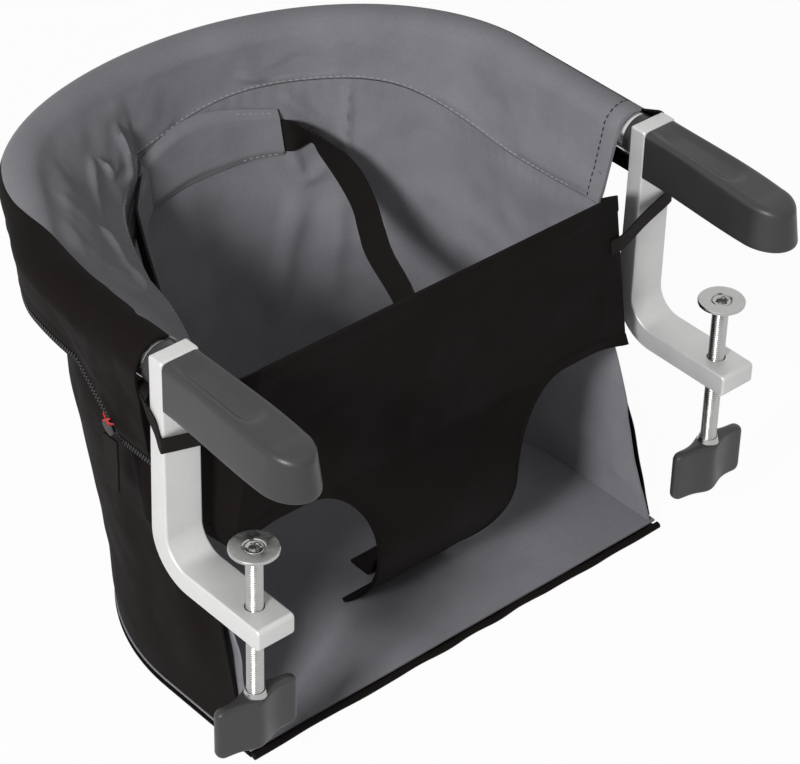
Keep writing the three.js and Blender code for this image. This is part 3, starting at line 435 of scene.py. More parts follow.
def at_length(path, lengths, wanted):
    """Points of a path at the wanted lengths along it."""
    return np.stack([np.interp(wanted, lengths, values) for values in path.T], -1)


def spline(points, count):
    """Smooth curve through a few points, sampled evenly."""
    points = np.asarray(points, float)
    padded = np.concatenate([[2 * points[0] - points[1]], points, [2 * points[-1] - points[-2]]])
    curve = []
    for k in range(len(points) - 1):
        p0, p1, p2, p3 = padded[k:k + 4]
        for t in np.linspace(0, 1, 24, endpoint=False):
            curve.append(0.5 * (2 * p1 + (p2 - p0) * t + (2 * p0 - 5 * p1 + 4 * p2 - p3) * t ** 2
                                + (3 * p1 - p0 - 3 * p2 + p3) * t ** 3))
    curve = np.array([*curve, points[-1]])
    lengths = lengths_along(curve)
    return at_length(curve, lengths, np.linspace(0, lengths[-1], count))


def smooth_profile(stations, z):
    """Smooth value at z through (z, value) stations listed downwards."""
    z = np.asarray(z, float)
    curve = spline(stations, 200)
    return np.interp(-z, -curve[:, 0], curve[:, 1])


def strap_grid(points, across, width, count, lanes=9):
    """Grid of a flat strap along a smooth route, with its direction across at each point."""
    route = spline(np.concatenate([points, across], axis=1), count)
    side = unit(route[:, 3:])
    offsets = np.linspace(-width / 2, width / 2, lanes)
    return route[:, None, :3] + side[:, None, :] * offsets[None, :, None]


def stitch_parts(path, normals, length=2.6, gap=1.5, radius=0.33):
    """Row of stitches on a path, each a small bent capsule that stands on the cloth."""
    lengths = lengths_along(path)
    angle = np.linspace(0, 2 * math.pi, 6, endpoint=False)[:, None]
    parts = []
    for start in np.arange(gap, lengths[-1] - length, length + gap):
        rings = []
        for t, swell in ((0, 0.35), (0.2, 0.9), (0.5, 1), (0.8, 0.9), (1, 0.35)):
            at = start + length * t
            here = at_length(path, lengths, at)
            ahead = at_length(path, lengths, at + 0.3) - here
            up = unit(at_length(normals, lengths, at))
            side = unit(np.cross(unit(ahead), up))
            middle = here + up * radius * (swell - 0.4)
            rings.append(middle + radius * swell * (np.cos(angle) * side + np.sin(angle) * up))
        parts.append(ring_parts(rings))
    return joined(parts)


def tube_parts(path, radius, around=12):
    """Round tube along a path, closed at its ends."""
    path = np.asarray(path, float)
    ahead = unit(np.gradient(path, axis=0))
    up = np.tile([0.0, 0.0, 1.0], (len(path), 1))
    up[np.abs(ahead[:, 2]) > 0.9] = [0.0, 1.0, 0.0]
    side = unit(np.cross(ahead, up))
    top = np.cross(side, ahead)
    angle = np.linspace(0, 2 * math.pi, around, endpoint=False)
    radius = np.broadcast_to(radius, len(path))
    rings = [p + r * (np.cos(angle)[:, None] * s + np.sin(angle)[:, None] * t)
             for p, r, s, t in zip(path, radius, side, top)]
    return ring_parts(rings)


def wavy(points, size, height, seed):
    """Soft noise at each point, for cloth that isn't quite smooth."""
    flat = points.reshape(-1, 3) / size
    values = [noise.noise(Vector(p) + Vector((seed, 2 * seed, 3 * seed))) for p in flat]
    return np.array(values).reshape(points.shape[:-1]) * height


def folds(points, lines):
    """Height of creases at each point, from (start, end, half width, height) lines in space."""
    total = np.zeros(points.shape[:-1])
    for start, end, width, height in lines:
        start, end = np.array(start, float), np.array(end, float)
        ahead = end - start
        t = np.clip(((points - start) @ ahead) / (ahead @ ahead), 0, 1)
        away = np.linalg.norm(points - (start + t[..., None] * ahead), axis=-1)
        total += height * np.exp(-(away / width) ** 2) * np.sin(np.pi * np.clip(t * 0.9 + 0.05, 0, 1)) ** 0.5
    return total


def raised(grid, height):
    return grid + grid_normals(grid) * height[..., None]


# Materials


def new_material(name):
    """A material with its node tree, shader and texture coordinates."""
    material = bpy.data.materials.new(name)
    material.use_nodes = True
    tree = material.node_tree
    return material, tree, tree.nodes["Principled BSDF"], tree.nodes.new("ShaderNodeTexCoord").outputs


def node(tree, kind, **inputs):
    made = tree.nodes.new(kind)
    for key, value in inputs.items():
        made.inputs[key.replace("_", " ")].default_value = value
    return made


def noise_node(tree, coords, scale, detail):
    made = node(tree, "ShaderNodeTexNoise", Scale=scale, Detail=detail, Roughness=0.55)
    tree.links.new(coords["Object"], made.inputs["Vector"])
    return made.outputs["Fac"]


def ranged(tree, value, low, high, start=0.0, end=1.0):
    made = node(tree, "ShaderNodeMapRange", From_Min=start, From_Max=end, To_Min=low, To_Max=high)
    tree.links.new(value, made.inputs["Value"])
    return made.outputs["Result"]


def combined(tree, operation, a, b):
    made = tree.nodes.new("ShaderNodeMath")
    made.operation = operation
    for socket, value in zip(made.inputs, (a, b)):
        if isinstance(value, (int, float)):
            socket.default_value = value
        else:
            tree.links.new(value, socket)
    return made.outputs[0]


def blended(tree, first, second, share):
    """Sum of two values, the first at a share and the second at the rest."""
    return combined(tree, "ADD", combined(tree, "MULTIPLY", first, share),
                    combined(tree, "MULTIPLY", second, 1 - share))


def tinted(tree, shader, value, colour, dark, light):
    """Base colour that runs with a value from a darker to a lighter shade of one colour."""
    ramp = tree.nodes.new("ShaderNodeValToRGB")
    for element, amount in zip(ramp.color_ramp.elements, (dark, light)):
        element.color = (*(min(1.0, c * amount) for c in colour), 1)
    tree.links.new(value, ramp.inputs["Fac"])
    tree.links.new(ramp.outputs["Color"], shader.inputs["Base Color"])


def roughened(tree, shader, value, low, high, start=0.0, end=1.0):
    tree.links.new(ranged(tree, value, low, high, start, end), shader.inputs["Roughness"])


def bumped(tree, shader, height, strength, distance):
    made = node(tree, "ShaderNodeBump", Strength=strength, Distance=distance)
    tree.links.new(height, made.inputs["Height"])
    tree.links.new(made.outputs["Normal"], shader.inputs["Normal"])


def wave_node(tree, coords, direction, pitch):
    """Bands of the given pitch, in metres, along one direction of the coordinates."""
    made = node(tree, "ShaderNodeTexWave", Scale=math.pi / (10 * pitch))
    made.bands_direction = direction
    tree.links.new(coords, made.inputs["Vector"])
    return made.outputs["Fac"]


def cloth_material(name, colour, thread=0.0006, mottle=0.16, sheen=0.15):
    """Plain woven polyester: fine threads both ways, soft mottling and a little sheen."""
    material, tree, shader, coords = new_material(name)
    weave = combined(tree, "MULTIPLY", wave_node(tree, coords["UV"], "X", thread),
                     wave_node(tree, coords["UV"], "Y", thread))
    broad = noise_node(tree, coords, 22, 5)
    speckle = noise_node(tree, coords, 900, 2)
    tone = ranged(tree, blended(tree, broad, speckle, 0.62), 0, 1, 0.3, 0.7)
    tinted(tree, shader, tone, colour, 1 - mottle, 1 + mottle)
    roughened(tree, shader, broad, 0.62, 0.82, 0.3, 0.7)
    bumped(tree, shader, combined(tree, "ADD", weave, combined(tree, "MULTIPLY", speckle, 0.7)), 0.3, 0.0002)
    shader.inputs["Sheen Weight"].default_value = sheen
    shader.inputs["Sheen Roughness"].default_value = 0.5
    shader.inputs["Specular IOR Level"].default_value = 0.06
    return material


def webbing_material(name, colour):
    """Ribbed webbing: slanted ribs across the strap, with painted shade in the valleys between them and
    painted light on the rib tops.
    """
    material, tree, shader, coords = new_material(name)
    turned = node(tree, "ShaderNodeMapping", Rotation=(0, 0, math.radians(32)))
    tree.links.new(coords["UV"], turned.inputs["Vector"])
    rib_relief_and_shade = wave_node(tree, turned.outputs["Vector"], "X", 0.0013)
    grain = noise_node(tree, coords, 500, 3)
    tone = blended(tree, rib_relief_and_shade, grain, 0.7)
    # Painted shade and light: the rib wave runs the colour from dark in the valleys to pale on the rib tops
    tinted(tree, shader, tone, colour, 0.45, 1.7)
    roughened(tree, shader, grain, 0.55, 0.8)
    bumped(tree, shader, tone, 0.6, 0.0004)
    shader.inputs["Specular IOR Level"].default_value = 0.1
    return material


def casting_material(name, colour):
    """Tumbled cast aluminium: satin, faintly mottled, with small pits."""
    material, tree, shader, coords = new_material(name)
    broad = noise_node(tree, coords, 45, 6)
    fine = noise_node(tree, coords, 1400, 2)
    pits = noise_node(tree, coords, 420, 1)
    tinted(tree, shader, blended(tree, broad, pits, 0.7), colour, 0.9, 1.1)
    roughened(tree, shader, broad, 0.42, 0.6)
    bumped(tree, shader, combined(tree, "ADD", fine, pits), 0.12, 0.0003)
    shader.inputs["Metallic"].default_value = 0.45
    return material


def metal_material(name, colour, roughness=(0.16, 0.3)):
    """Bright metal with a slightly uneven polish."""
    material, tree, shader, coords = new_material(name)
    broad = noise_node(tree, coords, 160, 4)
    tinted(tree, shader, broad, colour, 0.88, 1.08)
    roughened(tree, shader, broad, *roughness, 0.3, 0.7)
    bumped(tree, shader, noise_node(tree, coords, 900, 2), 0.05, 0.0002)
    shader.inputs["Metallic"].default_value = 1.0
    return material


def moulded_material(name, colour, roughness):
    """Moulded rubber or plastic with a fine spark-eroded grain."""
    material, tree, shader, coords = new_material(name)
    broad = noise_node(tree, coords, 30, 4)
    tinted(tree, shader, broad, colour, 0.88, 1.12)
    roughened(tree, shader, broad, *roughness, 0.3, 0.7)
    bumped(tree, shader, noise_node(tree, coords, 1100, 2), 0.16, 0.0002)
    return material


grey_cloth = cloth_material("grey_polyester", (0.25, 0.247, 0.27))
black_cloth = cloth_material("black_polyester", (0.0088, 0.0068, 0.0065), mottle=0.3, sheen=0.0)
webbing = webbing_material("black_webbing", (0.012, 0.0095, 0.0092))
grey_thread = cloth_material("pale_thread", (0.42, 0.42, 0.44), thread=0.0003, sheen=0.3)
dark_thread = cloth_material("dark_thread", (0.03, 0.03, 0.034), thread=0.0003, sheen=0.2)
red_thread = cloth_material("red_thread", (0.55, 0.02, 0.02), thread=0.0003, sheen=0.3)
aluminium = casting_material("cast_aluminium", (0.72, 0.715, 0.71))
tube_metal = metal_material("drawn_aluminium", (0.66, 0.66, 0.66), (0.2, 0.32))
zinc = metal_material("bright_zinc", (0.44, 0.44, 0.43))
rubber = moulded_material("grey_rubber", (0.03, 0.0288, 0.0294), (0.36, 0.46))
plastic = moulded_material("dark_plastic", (0.034, 0.033, 0.0335), (0.36, 0.48))
black_plastic = moulded_material("black_plastic", (0.012, 0.012, 0.012), (0.35, 0.5))
board = moulded_material("board_plastic", (0.05, 0.05, 0.05), (0.5, 0.65))

# Clamps: brackets, pads, plates, screws, ferrules, knobs


def cut_by(piece, points, faces):
    """Cuts a tool shape out of a piece."""
    tool = make_mesh("cutter", points, faces, piece.data.materials[0])
    change = piece.modifiers.new("cut", "BOOLEAN")
    change.object = tool
    change.solver = "EXACT"
    bpy.context.view_layer.update()
    cut = bpy.data.meshes.new_from_object(piece.evaluated_get(bpy.context.evaluated_depsgraph_get()))
    piece.modifiers.clear()
    piece.data = cut
    cut.shade_smooth()
    cut.set_sharp_from_angle(angle=math.radians(40))
    bpy.data.objects.remove(tool)
    return piece


def bracket(side, x):
    foot_bottom = FOOT_TOP - BEND_THICKNESS
    outline = filleted([
        (0, BRACKET_TOP, 2),
        (0, FOOT_TOP, BEND_INNER_R),
        (-FOOT_LENGTH, FOOT_TOP, FOOT_NOSE_R),
        (-FOOT_LENGTH, foot_bottom, FOOT_NOSE_R),
        (BEND_THICKNESS, foot_bottom, BEND_INNER_R + BEND_THICKNESS),
        (BAR_THICKNESS, 0, 20),
        (BAR_THICKNESS, BRACKET_TOP, 2),
    ], steps=14)
    half = BRACKET_WIDTH / 2
    casting = rounded_slab(outline, -half, half, EDGE_ROUND, side_place(x))
    core_low = (BRACKET_TOP - ARM_CORE_HEIGHT) / 2
    core = rectangle(-ARM_CORE_LENGTH, core_low, -1, core_low + ARM_CORE_HEIGHT, 2)
    arm = rounded_slab(core, -ARM_CORE_WIDTH / 2, ARM_CORE_WIDTH / 2, 1, side_place(x))
    hole = SCREW_R + SCREW_CLEARANCE
    piece = make_mesh(f"{side}_bracket_casting", *casting, aluminium)
    cut_by(piece, *lathe_parts([(hole, foot_bottom - 5), (hole, FOOT_TOP + 5)], x, SCREW_Y))
    dress(piece, "seat", "aluminium", f"{side}_bracket")
    core_piece = make_mesh(f"{side}_bracket_arm", *arm, aluminium)
    dress(core_piece, "seat", "aluminium")


def pad_edge(inset, flare, count=26, nose_count=30):
    """Right half of the pad's plan from the bar to the nose, drawn in from its widest line."""
    nose_start = -(PAD_LENGTH - PAD_NOSE)
    y = np.linspace(-GAP, nose_start, count)
    along = y / nose_start
    wide = lerp(BRACKET_WIDTH / 2, PAD_HALF_WIDTH, smoothstep(0, 1, along))
    x = wide - inset - flare * along
    angle = np.linspace(0, math.pi / 2, nose_count)[1:]
    reach = PAD_NOSE - inset - flare
    nose_x = x[-1] * np.cos(angle)
    nose_y = nose_start - reach * np.sin(angle)
    return np.concatenate([x, nose_x]), np.concatenate([y, nose_y])


def pad_top(x, y):
    """Height of the pad's top: it falls towards the nose and is dished like a thumb rest."""
    along = np.clip(-y / (PAD_LENGTH - PAD_NOSE), 0, 1)
    fall = PAD_TOP_DROP * along ** 2 + 2.2 * smoothstep(PAD_LENGTH - PAD_NOSE, PAD_LENGTH, -y) ** 2
    away = np.hypot(x, np.minimum(y - PAD_DISH_END, 0)) - PAD_DISH_R
    dish = 1 - smoothstep(-PAD_DISH_BLEND, PAD_DISH_BLEND / 2, away)
    return BRACKET_TOP - fall - PAD_DISH_DEPTH * dish * smoothstep(0, 14, -y)


def arm_pad(side, x):
    rings = []

    def add_ring(edge_x, edge_y, z):
        ring_x = np.concatenate([edge_x, -edge_x[-2::-1]])
        ring_y = np.concatenate([edge_y, edge_y[-2::-1]])
        height = z(ring_x, ring_y) if callable(z) else np.full(len(ring_x), float(z))
        rings.append(np.column_stack([ring_x + x, ring_y, height]))

    for a in np.linspace(0, math.pi / 2, 4):
        add_ring(*pad_edge(PAD_SOLE_EDGE * (1 - math.sin(a)), 0), PAD_SOLE_EDGE * (1 - math.cos(a)))
    for h in np.linspace(0.1, 1, 10):
        add_ring(*pad_edge(0, PAD_FLARE * h), lambda px, py, h=h: lerp(
            PAD_SOLE_EDGE, pad_top(px, py) - PAD_EDGE_R, h))
    for a in np.linspace(0, math.pi / 2, 7)[1:]:
        add_ring(*pad_edge(PAD_EDGE_R * (1 - math.cos(a)), PAD_FLARE), lambda px, py, a=a: (
            pad_top(px, py) - PAD_EDGE_R * (1 - math.sin(a))))
    edge_x, edge_y = pad_edge(PAD_EDGE_R, PAD_FLARE)
    for share in np.linspace(1, 0, 16)[1:]:
        add_ring(edge_x * share, edge_y, pad_top)
    points, faces = ring_parts(rings)
    piece = make_mesh(f"{side}_arm_pad_boot", points, faces[:-1], rubber, sharp=50)
    dress(piece, "seat", "rubber", f"{side}_arm_pad")


def pressure_plate(side, x):
    bore = NECK_R + GAP
    recess = LIP_R + GAP
    recess_floor = PLATE_TOP - LIP_SUNK - LIP_HEIGHT - GAP
    rim = PLATE_TOP - PLATE_RIM
    under = rim - PLATE_CONE
    profile = [(bore, under), (PLATE_HUB_R - 0.5, under), (PLATE_HUB_R + 0.3, under + 0.6),
               (PLATE_R - 1.2, rim - 0.5), (PLATE_R, rim + 0.3), (PLATE_R, PLATE_TOP - 0.5),
               (PLATE_R - 0.5, PLATE_TOP), (recess + 0.7, PLATE_TOP), (recess, PLATE_TOP - 0.6),
               (recess, recess_floor), (bore, recess_floor)]
    ring = ring_solid_parts(profile, x, SCREW_Y, 96)
    piece = make_mesh(f"{side}_pressure_plate_disc", *ring, zinc, sharp=30)
    dress(piece, f"{side}_plate", "zinc", f"{side}_pressure_plate")


def thread_radius(z, angle):
    """Radius of the threaded rod, a rounded ridge that winds up it."""
    turn = (z / THREAD_PITCH - angle / (2 * math.pi)) % 1
    return SCREW_R - THREAD_DEPTH * (0.5 + 0.5 * np.cos(2 * math.pi * turn)) ** 1.5


def clamp_screw(side, x):
    around = 32
    angle = np.linspace(0, 2 * math.pi, around, endpoint=False)
    shoulder = PLATE_TOP - PLATE_RIM - PLATE_CONE - GAP
    lip_top = PLATE_TOP - LIP_SUNK
    lip_bottom = lip_top - LIP_HEIGHT
    socket_floor = lip_top - SOCKET_DEPTH
    flat = SOCKET_R * math.cos(math.pi / 6)
    hexagon = flat / np.cos((angle + math.pi / 6) % (math.pi / 3) - math.pi / 6)
    thread = np.arange(FERRULE_END + 0.5, shoulder - 1, THREAD_PITCH / 7)
    outline = [(SCREW_R - 1, FERRULE_END), *[(thread_radius(z, angle), z) for z in thread],
               (SCREW_R, shoulder), (NECK_R, shoulder), (NECK_R, lip_bottom), (LIP_R, lip_bottom),
               (LIP_R, lip_top - 0.3), (LIP_R - 0.3, lip_top), (SOCKET_R + 1.1, lip_top),
               (hexagon + 0.15, lip_top - 0.7), (hexagon, lip_top - 1), (hexagon, socket_floor + 0.8),
               (hexagon * 0.35, socket_floor)]
    rings = []
    for radius, z in outline:
        radius = np.broadcast_to(radius, around)
        rings.append(np.column_stack([x + radius * np.cos(angle), SCREW_Y + radius * np.sin(angle),
                                      np.full(around, z)]))
    piece = make_mesh(f"{side}_clamp_screw_thread", *ring_parts(rings), zinc, sharp=35)
    dress(piece, f"{side}_screw", "zinc", f"{side}_clamp_screw")


def knob_ferrule(side, x):
    bore = SCREW_R + 0.1
    wall = [(bore, FERRULE_END), (FERRULE_R, FERRULE_END), (FERRULE_R, KNOB_TOP - 0.5),
            (FERRULE_R - 0.7, KNOB_TOP + 0.6), (FERRULE_R - 0.9, FERRULE_TOP - 0.8),
            (FERRULE_R - 1.3, FERRULE_TOP), (bore + 0.3, FERRULE_TOP), (bore, FERRULE_TOP - 0.6)]
    collar = make_mesh(f"{side}_knob_ferrule_rim", *ring_solid_parts(wall, x, SCREW_Y), zinc)
    dress(collar, f"{side}_screw", "zinc", f"{side}_knob_ferrule")


def knob_plan(reach, inset, count=48):
    """Plan of the knob: a hub that thins into two wings, swept to opposite sides, with round tips."""
    x = np.linspace(-reach, reach, count)
    middle = WING_SWEEP * np.sin(math.pi * x / KNOB_SPAN)
    half = lerp(WING_THICKNESS, KNOB_HUB, np.exp(-(x / (KNOB_HUB * 0.55)) ** 2)) / 2 - inset
    front = np.column_stack([x, middle - half])
    back = np.column_stack([x, middle + half])[::-1]
    tips = []
    for sign, end, across in ((1, front[-1], back[0]), (-1, back[-1], front[0])):
        centre = (end + across) / 2
        bow = np.linspace(0, math.pi, 9)[1:-1]
        reach_out = [sign * half[0] * 0.8, 0]
        tips.append(centre + np.outer(np.cos(bow), end - centre) + np.outer(np.sin(bow), reach_out))
    return np.concatenate([front, tips[0], back, tips[1]])


def wing_knob(side, x):
    rings = []
    bottom = KNOB_TOP - KNOB_HEIGHT
    cosine, sine = math.cos(KNOB_REST_ANGLE), math.sin(KNOB_REST_ANGLE)
    turn = np.array([[cosine, sine], [-sine, cosine]])
    rise = np.linspace(0, WING_CORNER_R, 9)
    for z in [*(bottom + rise), *(KNOB_TOP - rise[::-1])]:
        depth = min(z - bottom, KNOB_TOP - z)
        corner = WING_CORNER_R - math.sqrt(max(0, WING_CORNER_R ** 2 - (WING_CORNER_R - depth) ** 2))
        soft = max(0, KNOB_ROUND - depth)
        inset = KNOB_ROUND - math.sqrt(KNOB_ROUND ** 2 - soft ** 2)
        plan = knob_plan(KNOB_SPAN / 2 - WING_THICKNESS * 0.4 - corner, inset) @ turn
        rings.append(np.column_stack([plan + (x, SCREW_Y), np.full(len(plan), z)]))
    piece = make_mesh(f"{side}_wing_knob_moulding", *ring_parts(rings), plastic, sharp=50)
    dress(piece, f"{side}_screw", "dark_plastic", f"{side}_wing_knob")


def tube_end_fittings(side, x):
    bush = [(SPIGOT_R, BUSH_FRONT), (TUBE_R - 0.6, BUSH_FRONT), (TUBE_R, BUSH_FRONT + 0.6),
            (TUBE_R, BUSH_END), (SPIGOT_R, BUSH_END)]
    piece = make_mesh(f"{side}_tube_bush_ring", *lying_lathe_parts(bush, x, TUBE_Z), black_plastic)
    dress(piece, "seat", "black_plastic", f"{side}_tube_bush")
    low = RIVET_HEAD_TOP - RIVET_HEAD
    head = [(RIVET_HEAD_R, RIVET_HEAD_TOP), (RIVET_HEAD_R, RIVET_HEAD_TOP - 0.5),
            (RIVET_HEAD_R * 0.85, low + 0.4), (RIVET_HEAD_R * 0.5, low + 0.05), (RIVET_HEAD_R * 0.1, low)]
    rivet = make_mesh(f"{side}_strap_rivet_head", *lathe_parts(head, x, RIVET_Y, 32), zinc)
    dress(rivet, "seat", "zinc", f"{side}_strap_rivet")


def tension_strap(side, sign):
    half = BRACKET_WIDTH / 2
    under = TUBE_Z - TUBE_R - GAP - STRAP / 2
    outer = half + GAP + STRAP / 2
    front = -GAP - STRAP / 2
    panel = PANEL_Y - CLOTH / 2 - GAP - STRAP / 2
    corner = PANEL_TOP_HALF_WIDTH - CLAMP_X
    route = np.array([
        (-STRAP_WIDTH / 2, RIVET_Y, under), (STRAP_WIDTH / 2, RIVET_Y, under),
        (outer - 1.5, RIVET_Y - 1.5, under - 1.5),
        (outer, BAR_THICKNESS + 3, under - 7), (outer, BAR_THICKNESS / 2, (STRAP_Z + under - 7) / 2),
        (outer, 1.5, STRAP_Z), (half - 0.75, front, STRAP_Z), (-half + 0.75, front - 4.5, STRAP_Z - 3),
        (corner + 8, panel, STRAP_PANEL_Z + 1), (corner - 2, panel, STRAP_PANEL_Z)], float)
    across = np.array([*[(0, 1, 0)] * 2, (0, 0.9, 0.4), (0, 0.4, 0.9), *[(0, 0, 1)] * 2,
                       *[(-0.12, 0, 1)] * 4])
    route[:, 0] = sign * (route[:, 0] + CLAMP_X)
    grid = strap_grid(route, across, STRAP_WIDTH, 90, 5)
    piece = make_sheet(f"{side}_tension_strap_web", grid, STRAP, webbing)
    dress(piece, "seat", "webbing", f"{side}_tension_strap")


for side, sign in (("left", -1), ("right", 1)):
    bracket(side, sign * CLAMP_X)
    arm_pad(side, sign * CLAMP_X)
    pressure_plate(side, sign * CLAMP_X)
    clamp_screw(side, sign * CLAMP_X)
    knob_ferrule(side, sign * CLAMP_X)
    wing_knob(side, sign * CLAMP_X)
    tube_end_fittings(side, sign * CLAMP_X)
    tension_strap(side, sign)

# Plan curves of the bucket


def plan_u(station, half, front, back, bow, front_half=None):
    """Points of a U in plan at these stations, left end first."""
    front_half = half if front_half is None else front_half
    bend = back - bow
    side = np.clip(np.minimum(station, STATIONS - station) / SIDE_STATIONS, 0, 1)
    width = lerp(front_half, half, smoothstep(0, 0.5, side))
    angle = np.clip((station - SIDE_STATIONS) / ARC_STATIONS, 0, 1) * math.pi
    straight = side < 1
    x = np.where(straight, np.sign(station - STATIONS / 2) * width, -half * np.cos(angle))
    y = np.where(straight, lerp(front, bend, side), bend + bow * np.sin(angle))
    return np.stack([x, y], -1)


def plan_normals(plan):
    ahead = np.gradient(plan, axis=0)
    return unit(np.stack([-ahead[:, 1], ahead[:, 0]], -1))


def slack_along(station):
    return np.maximum(0, np.sin(math.pi * np.minimum(1, station / SLACK_STATIONS))) ** 0.7


def slack_down(z):
    return smooth_profile([(SEAM_Z, 1), (SEAM_Z - 12, 0.78), (WAIST_Z, 0.55), (KNEE_Z, 0.33),
                           (WALL_FOOT_Z, 0)], z)


def shell_slack_down(z):
    return smooth_profile([(SHELL_TOP_Z, 0), (lerp(SHELL_TOP_Z, WAIST_Z, 1 / 3), 1), (WAIST_Z, 0.6),
                           (KNEE_Z, 0.4), (SHIN_Z, 0.3), (WALL_FOOT_Z, 0)], z)


def drawn_in(plan, amount):
    return plan - plan_normals(plan) * np.broadcast_to(amount, len(plan))[:, None]


def shoulder(station):
    """Where the left shoulder of the rim is pressed in, 1 at its middle."""
    return np.exp(-((station - SHOULDER_STATION) / SHOULDER_REACH) ** 2)


def wall_front(z):
    return smooth_profile([(30, WALL_FRONT_Y), (PANEL_EAR_Z, WALL_FRONT_Y), (KNEE_Z, 2),
                           (WALL_FOOT_Z, BASE_FRONT + 1)], z)


def liner_half_width(z):
    return smooth_profile([(SEAM_Z, SEAM_HALF_WIDTH), (WAIST_Z, LINER_WAIST_HALF_WIDTH),
                           (WALL_FOOT_Z, BASE_HALF_WIDTH - WALL_SPACE)], z)


def wall_bow(z):
    return np.interp(-z, [0, -WALL_FOOT_Z], [SEAM_BOW, BASE_BOW])


def liner_curve(station, z):
    back = smooth_profile([(0, SEAM_BACK), (WAIST_Z, LINER_WAIST_BACK),
                           (WALL_FOOT_Z, BASE_BACK - WALL_SPACE)], z)
    plan = plan_u(station, liner_half_width(z), wall_front(z), back, wall_bow(z))
    return drawn_in(plan, SLACK * slack_down(z) * slack_along(station))


def shell_curve(station, z):
    half = smooth_profile([(SHELL_TOP_Z, CLAMP_X + 2), (WAIST_Z, SHELL_WAIST_HALF_WIDTH),
                           (WALL_FOOT_Z, BASE_HALF_WIDTH - 1)], z)
    back = smooth_profile([(SHELL_TOP_Z, TUBE_BACK + 2), (WAIST_Z, SHELL_WAIST_BACK),
                           (WALL_FOOT_Z, BASE_BACK - 1)], z)
    bow = np.interp(-z, [-SHELL_TOP_Z, -WALL_FOOT_Z], [TUBE_BOW, BASE_BOW])
    plan = plan_u(station, half, wall_front(z) + SHELL_SET_BACK, back, bow, liner_half_width(z) + WALL_SPACE)
    press = (SHOULDER_PRESS + WALL_SPACE) * shoulder(station) * smoothstep(-60, SHELL_TOP_Z, z)
    return drawn_in(plan, np.maximum(SHELL_SLACK * shell_slack_down(z) * slack_along(station), press))


def wall_grid(curve, station, levels):
    levels = np.broadcast_to(np.asarray(levels).reshape(len(levels), -1), (len(levels), len(station)))
    return np.array([np.column_stack([curve(station, z), z]) for z in levels])


# Bucket: liner, shell, rim band and cuff

# Folds: start, end, half width and height; below zero they stand into the bucket
LINER_FOLDS = [
    ((30, 244, -18), (22, 232, -62), 7, 3.0),
    ((8, 244, -18), (34, 236, -44), 5, 2.2),
    ((-14, 242, -18), (6, 234, -46), 5, -2.0),
    ((40, 240, -30), (16, 208, -150), 12, 3.5),
    ((0, 226, -70), (-10, 200, -190), 14, -4.0),
    ((64, 222, -60), (52, 196, -190), 16, 2.6),
    ((110, 198, -8), (102, 192, -53), 2.6, -4.0),
    ((73, 220, -12), (96, 202, -37), 3.2, -4.4),
    ((73, 211, -46), (79, 203, -68), 3.0, -4.0),
    ((79, 203, -68), (91, 198, -62), 3.0, -4.0),
    ((74, 203, -81), (45, 196, -163), 9, -7.0),
    ((96, 190, -78), (83, 183, -150), 8, -5.0),
]
SHELL_FOLDS = [
    ((-172, 60, -40), (-166, 80, -150), 12, 2.4),
    ((-172, 120, -30), (-160, 100, -170), 16, -2.6),
    ((172, 70, -40), (164, 90, -160), 14, 2.4),
    ((-60, 240, -30), (-40, 205, -180), 16, 2.4),
    ((70, 236, -30), (60, 205, -190), 18, 2.4),
]
# How far a wrinkle may push the liner and shell towards each other, and the rim towards the tube
LINER_GIVE = 0.7
RIM_GIVE = 0.4
WALL_ROWS = 72
WALL_STEPS = 10
SEAM_HEIGHTS = [(0, -16.5), (8, -17), (10, -21), (11, -22), (12, -15), (13, -7), (14, -5), (17, -5),
                (18, -10), (19, -19), (20, -25), (22, -25), (24, -22)]


def smoothed(values, reach):
    """Running mean of a row of values."""
    padded = np.pad(values, reach, mode="edge")
    return np.convolve(padded, np.full(2 * reach + 1, 1 / (2 * reach + 1)), mode="valid")


wall_pieces = [("left", 0, CORNER_STATION), ("back", CORNER_STATION, STATIONS - CORNER_STATION),
               ("right", STATIONS - CORNER_STATION, STATIONS)]
station = np.linspace(0, STATIONS, STATIONS * WALL_STEPS + 1)
seam_z = smoothed(np.interp(station, *zip(*SEAM_HEIGHTS)), WALL_STEPS)
share_down = np.linspace(0, 1, WALL_ROWS)[:, None]
liner_levels = lerp(seam_z - SEAM_GAP, WALL_FOOT_Z, share_down)
shell_levels = lerp(np.full(len(station), SHELL_TOP_Z), WALL_FOOT_Z, share_down)
liner_grid = wall_grid(liner_curve, station, liner_levels)
shell_grid = wall_grid(shell_curve, station, shell_levels)


def fade(levels, top, foot):
    """Share of a wrinkle's height at each level, none at the top and foot seams."""
    return smoothstep(0, top, levels[:1] - levels) * smoothstep(0, foot, levels - levels[-1:])


free_liner = fade(liner_levels, 10, 25)
liner_shape = wavy(liner_grid, 55, 5.0, 3) + wavy(liner_grid, 17, 1.5, 7) + folds(liner_grid, LINER_FOLDS)
liner_grid = raised(liner_grid, free_liner * np.minimum(liner_shape, LINER_GIVE))
below_seam = liner_levels[:1] - liner_levels
pucker = np.exp(-(below_seam / 9) ** 2) * np.sin(station * 17 + wavy(liner_grid[0], 20, 3, 1))
liner_grid = raised(liner_grid, 0.5 * pucker * smoothstep(0, 3, below_seam))
free_shell = fade(shell_levels, 30, 25)
shell_shape = wavy(shell_grid, 60, 3.4, 11) + wavy(shell_grid, 19, 0.8, 5) + folds(shell_grid, SHELL_FOLDS)
shell_grid = raised(shell_grid, free_shell * np.maximum(shell_shape, -LINER_GIVE))

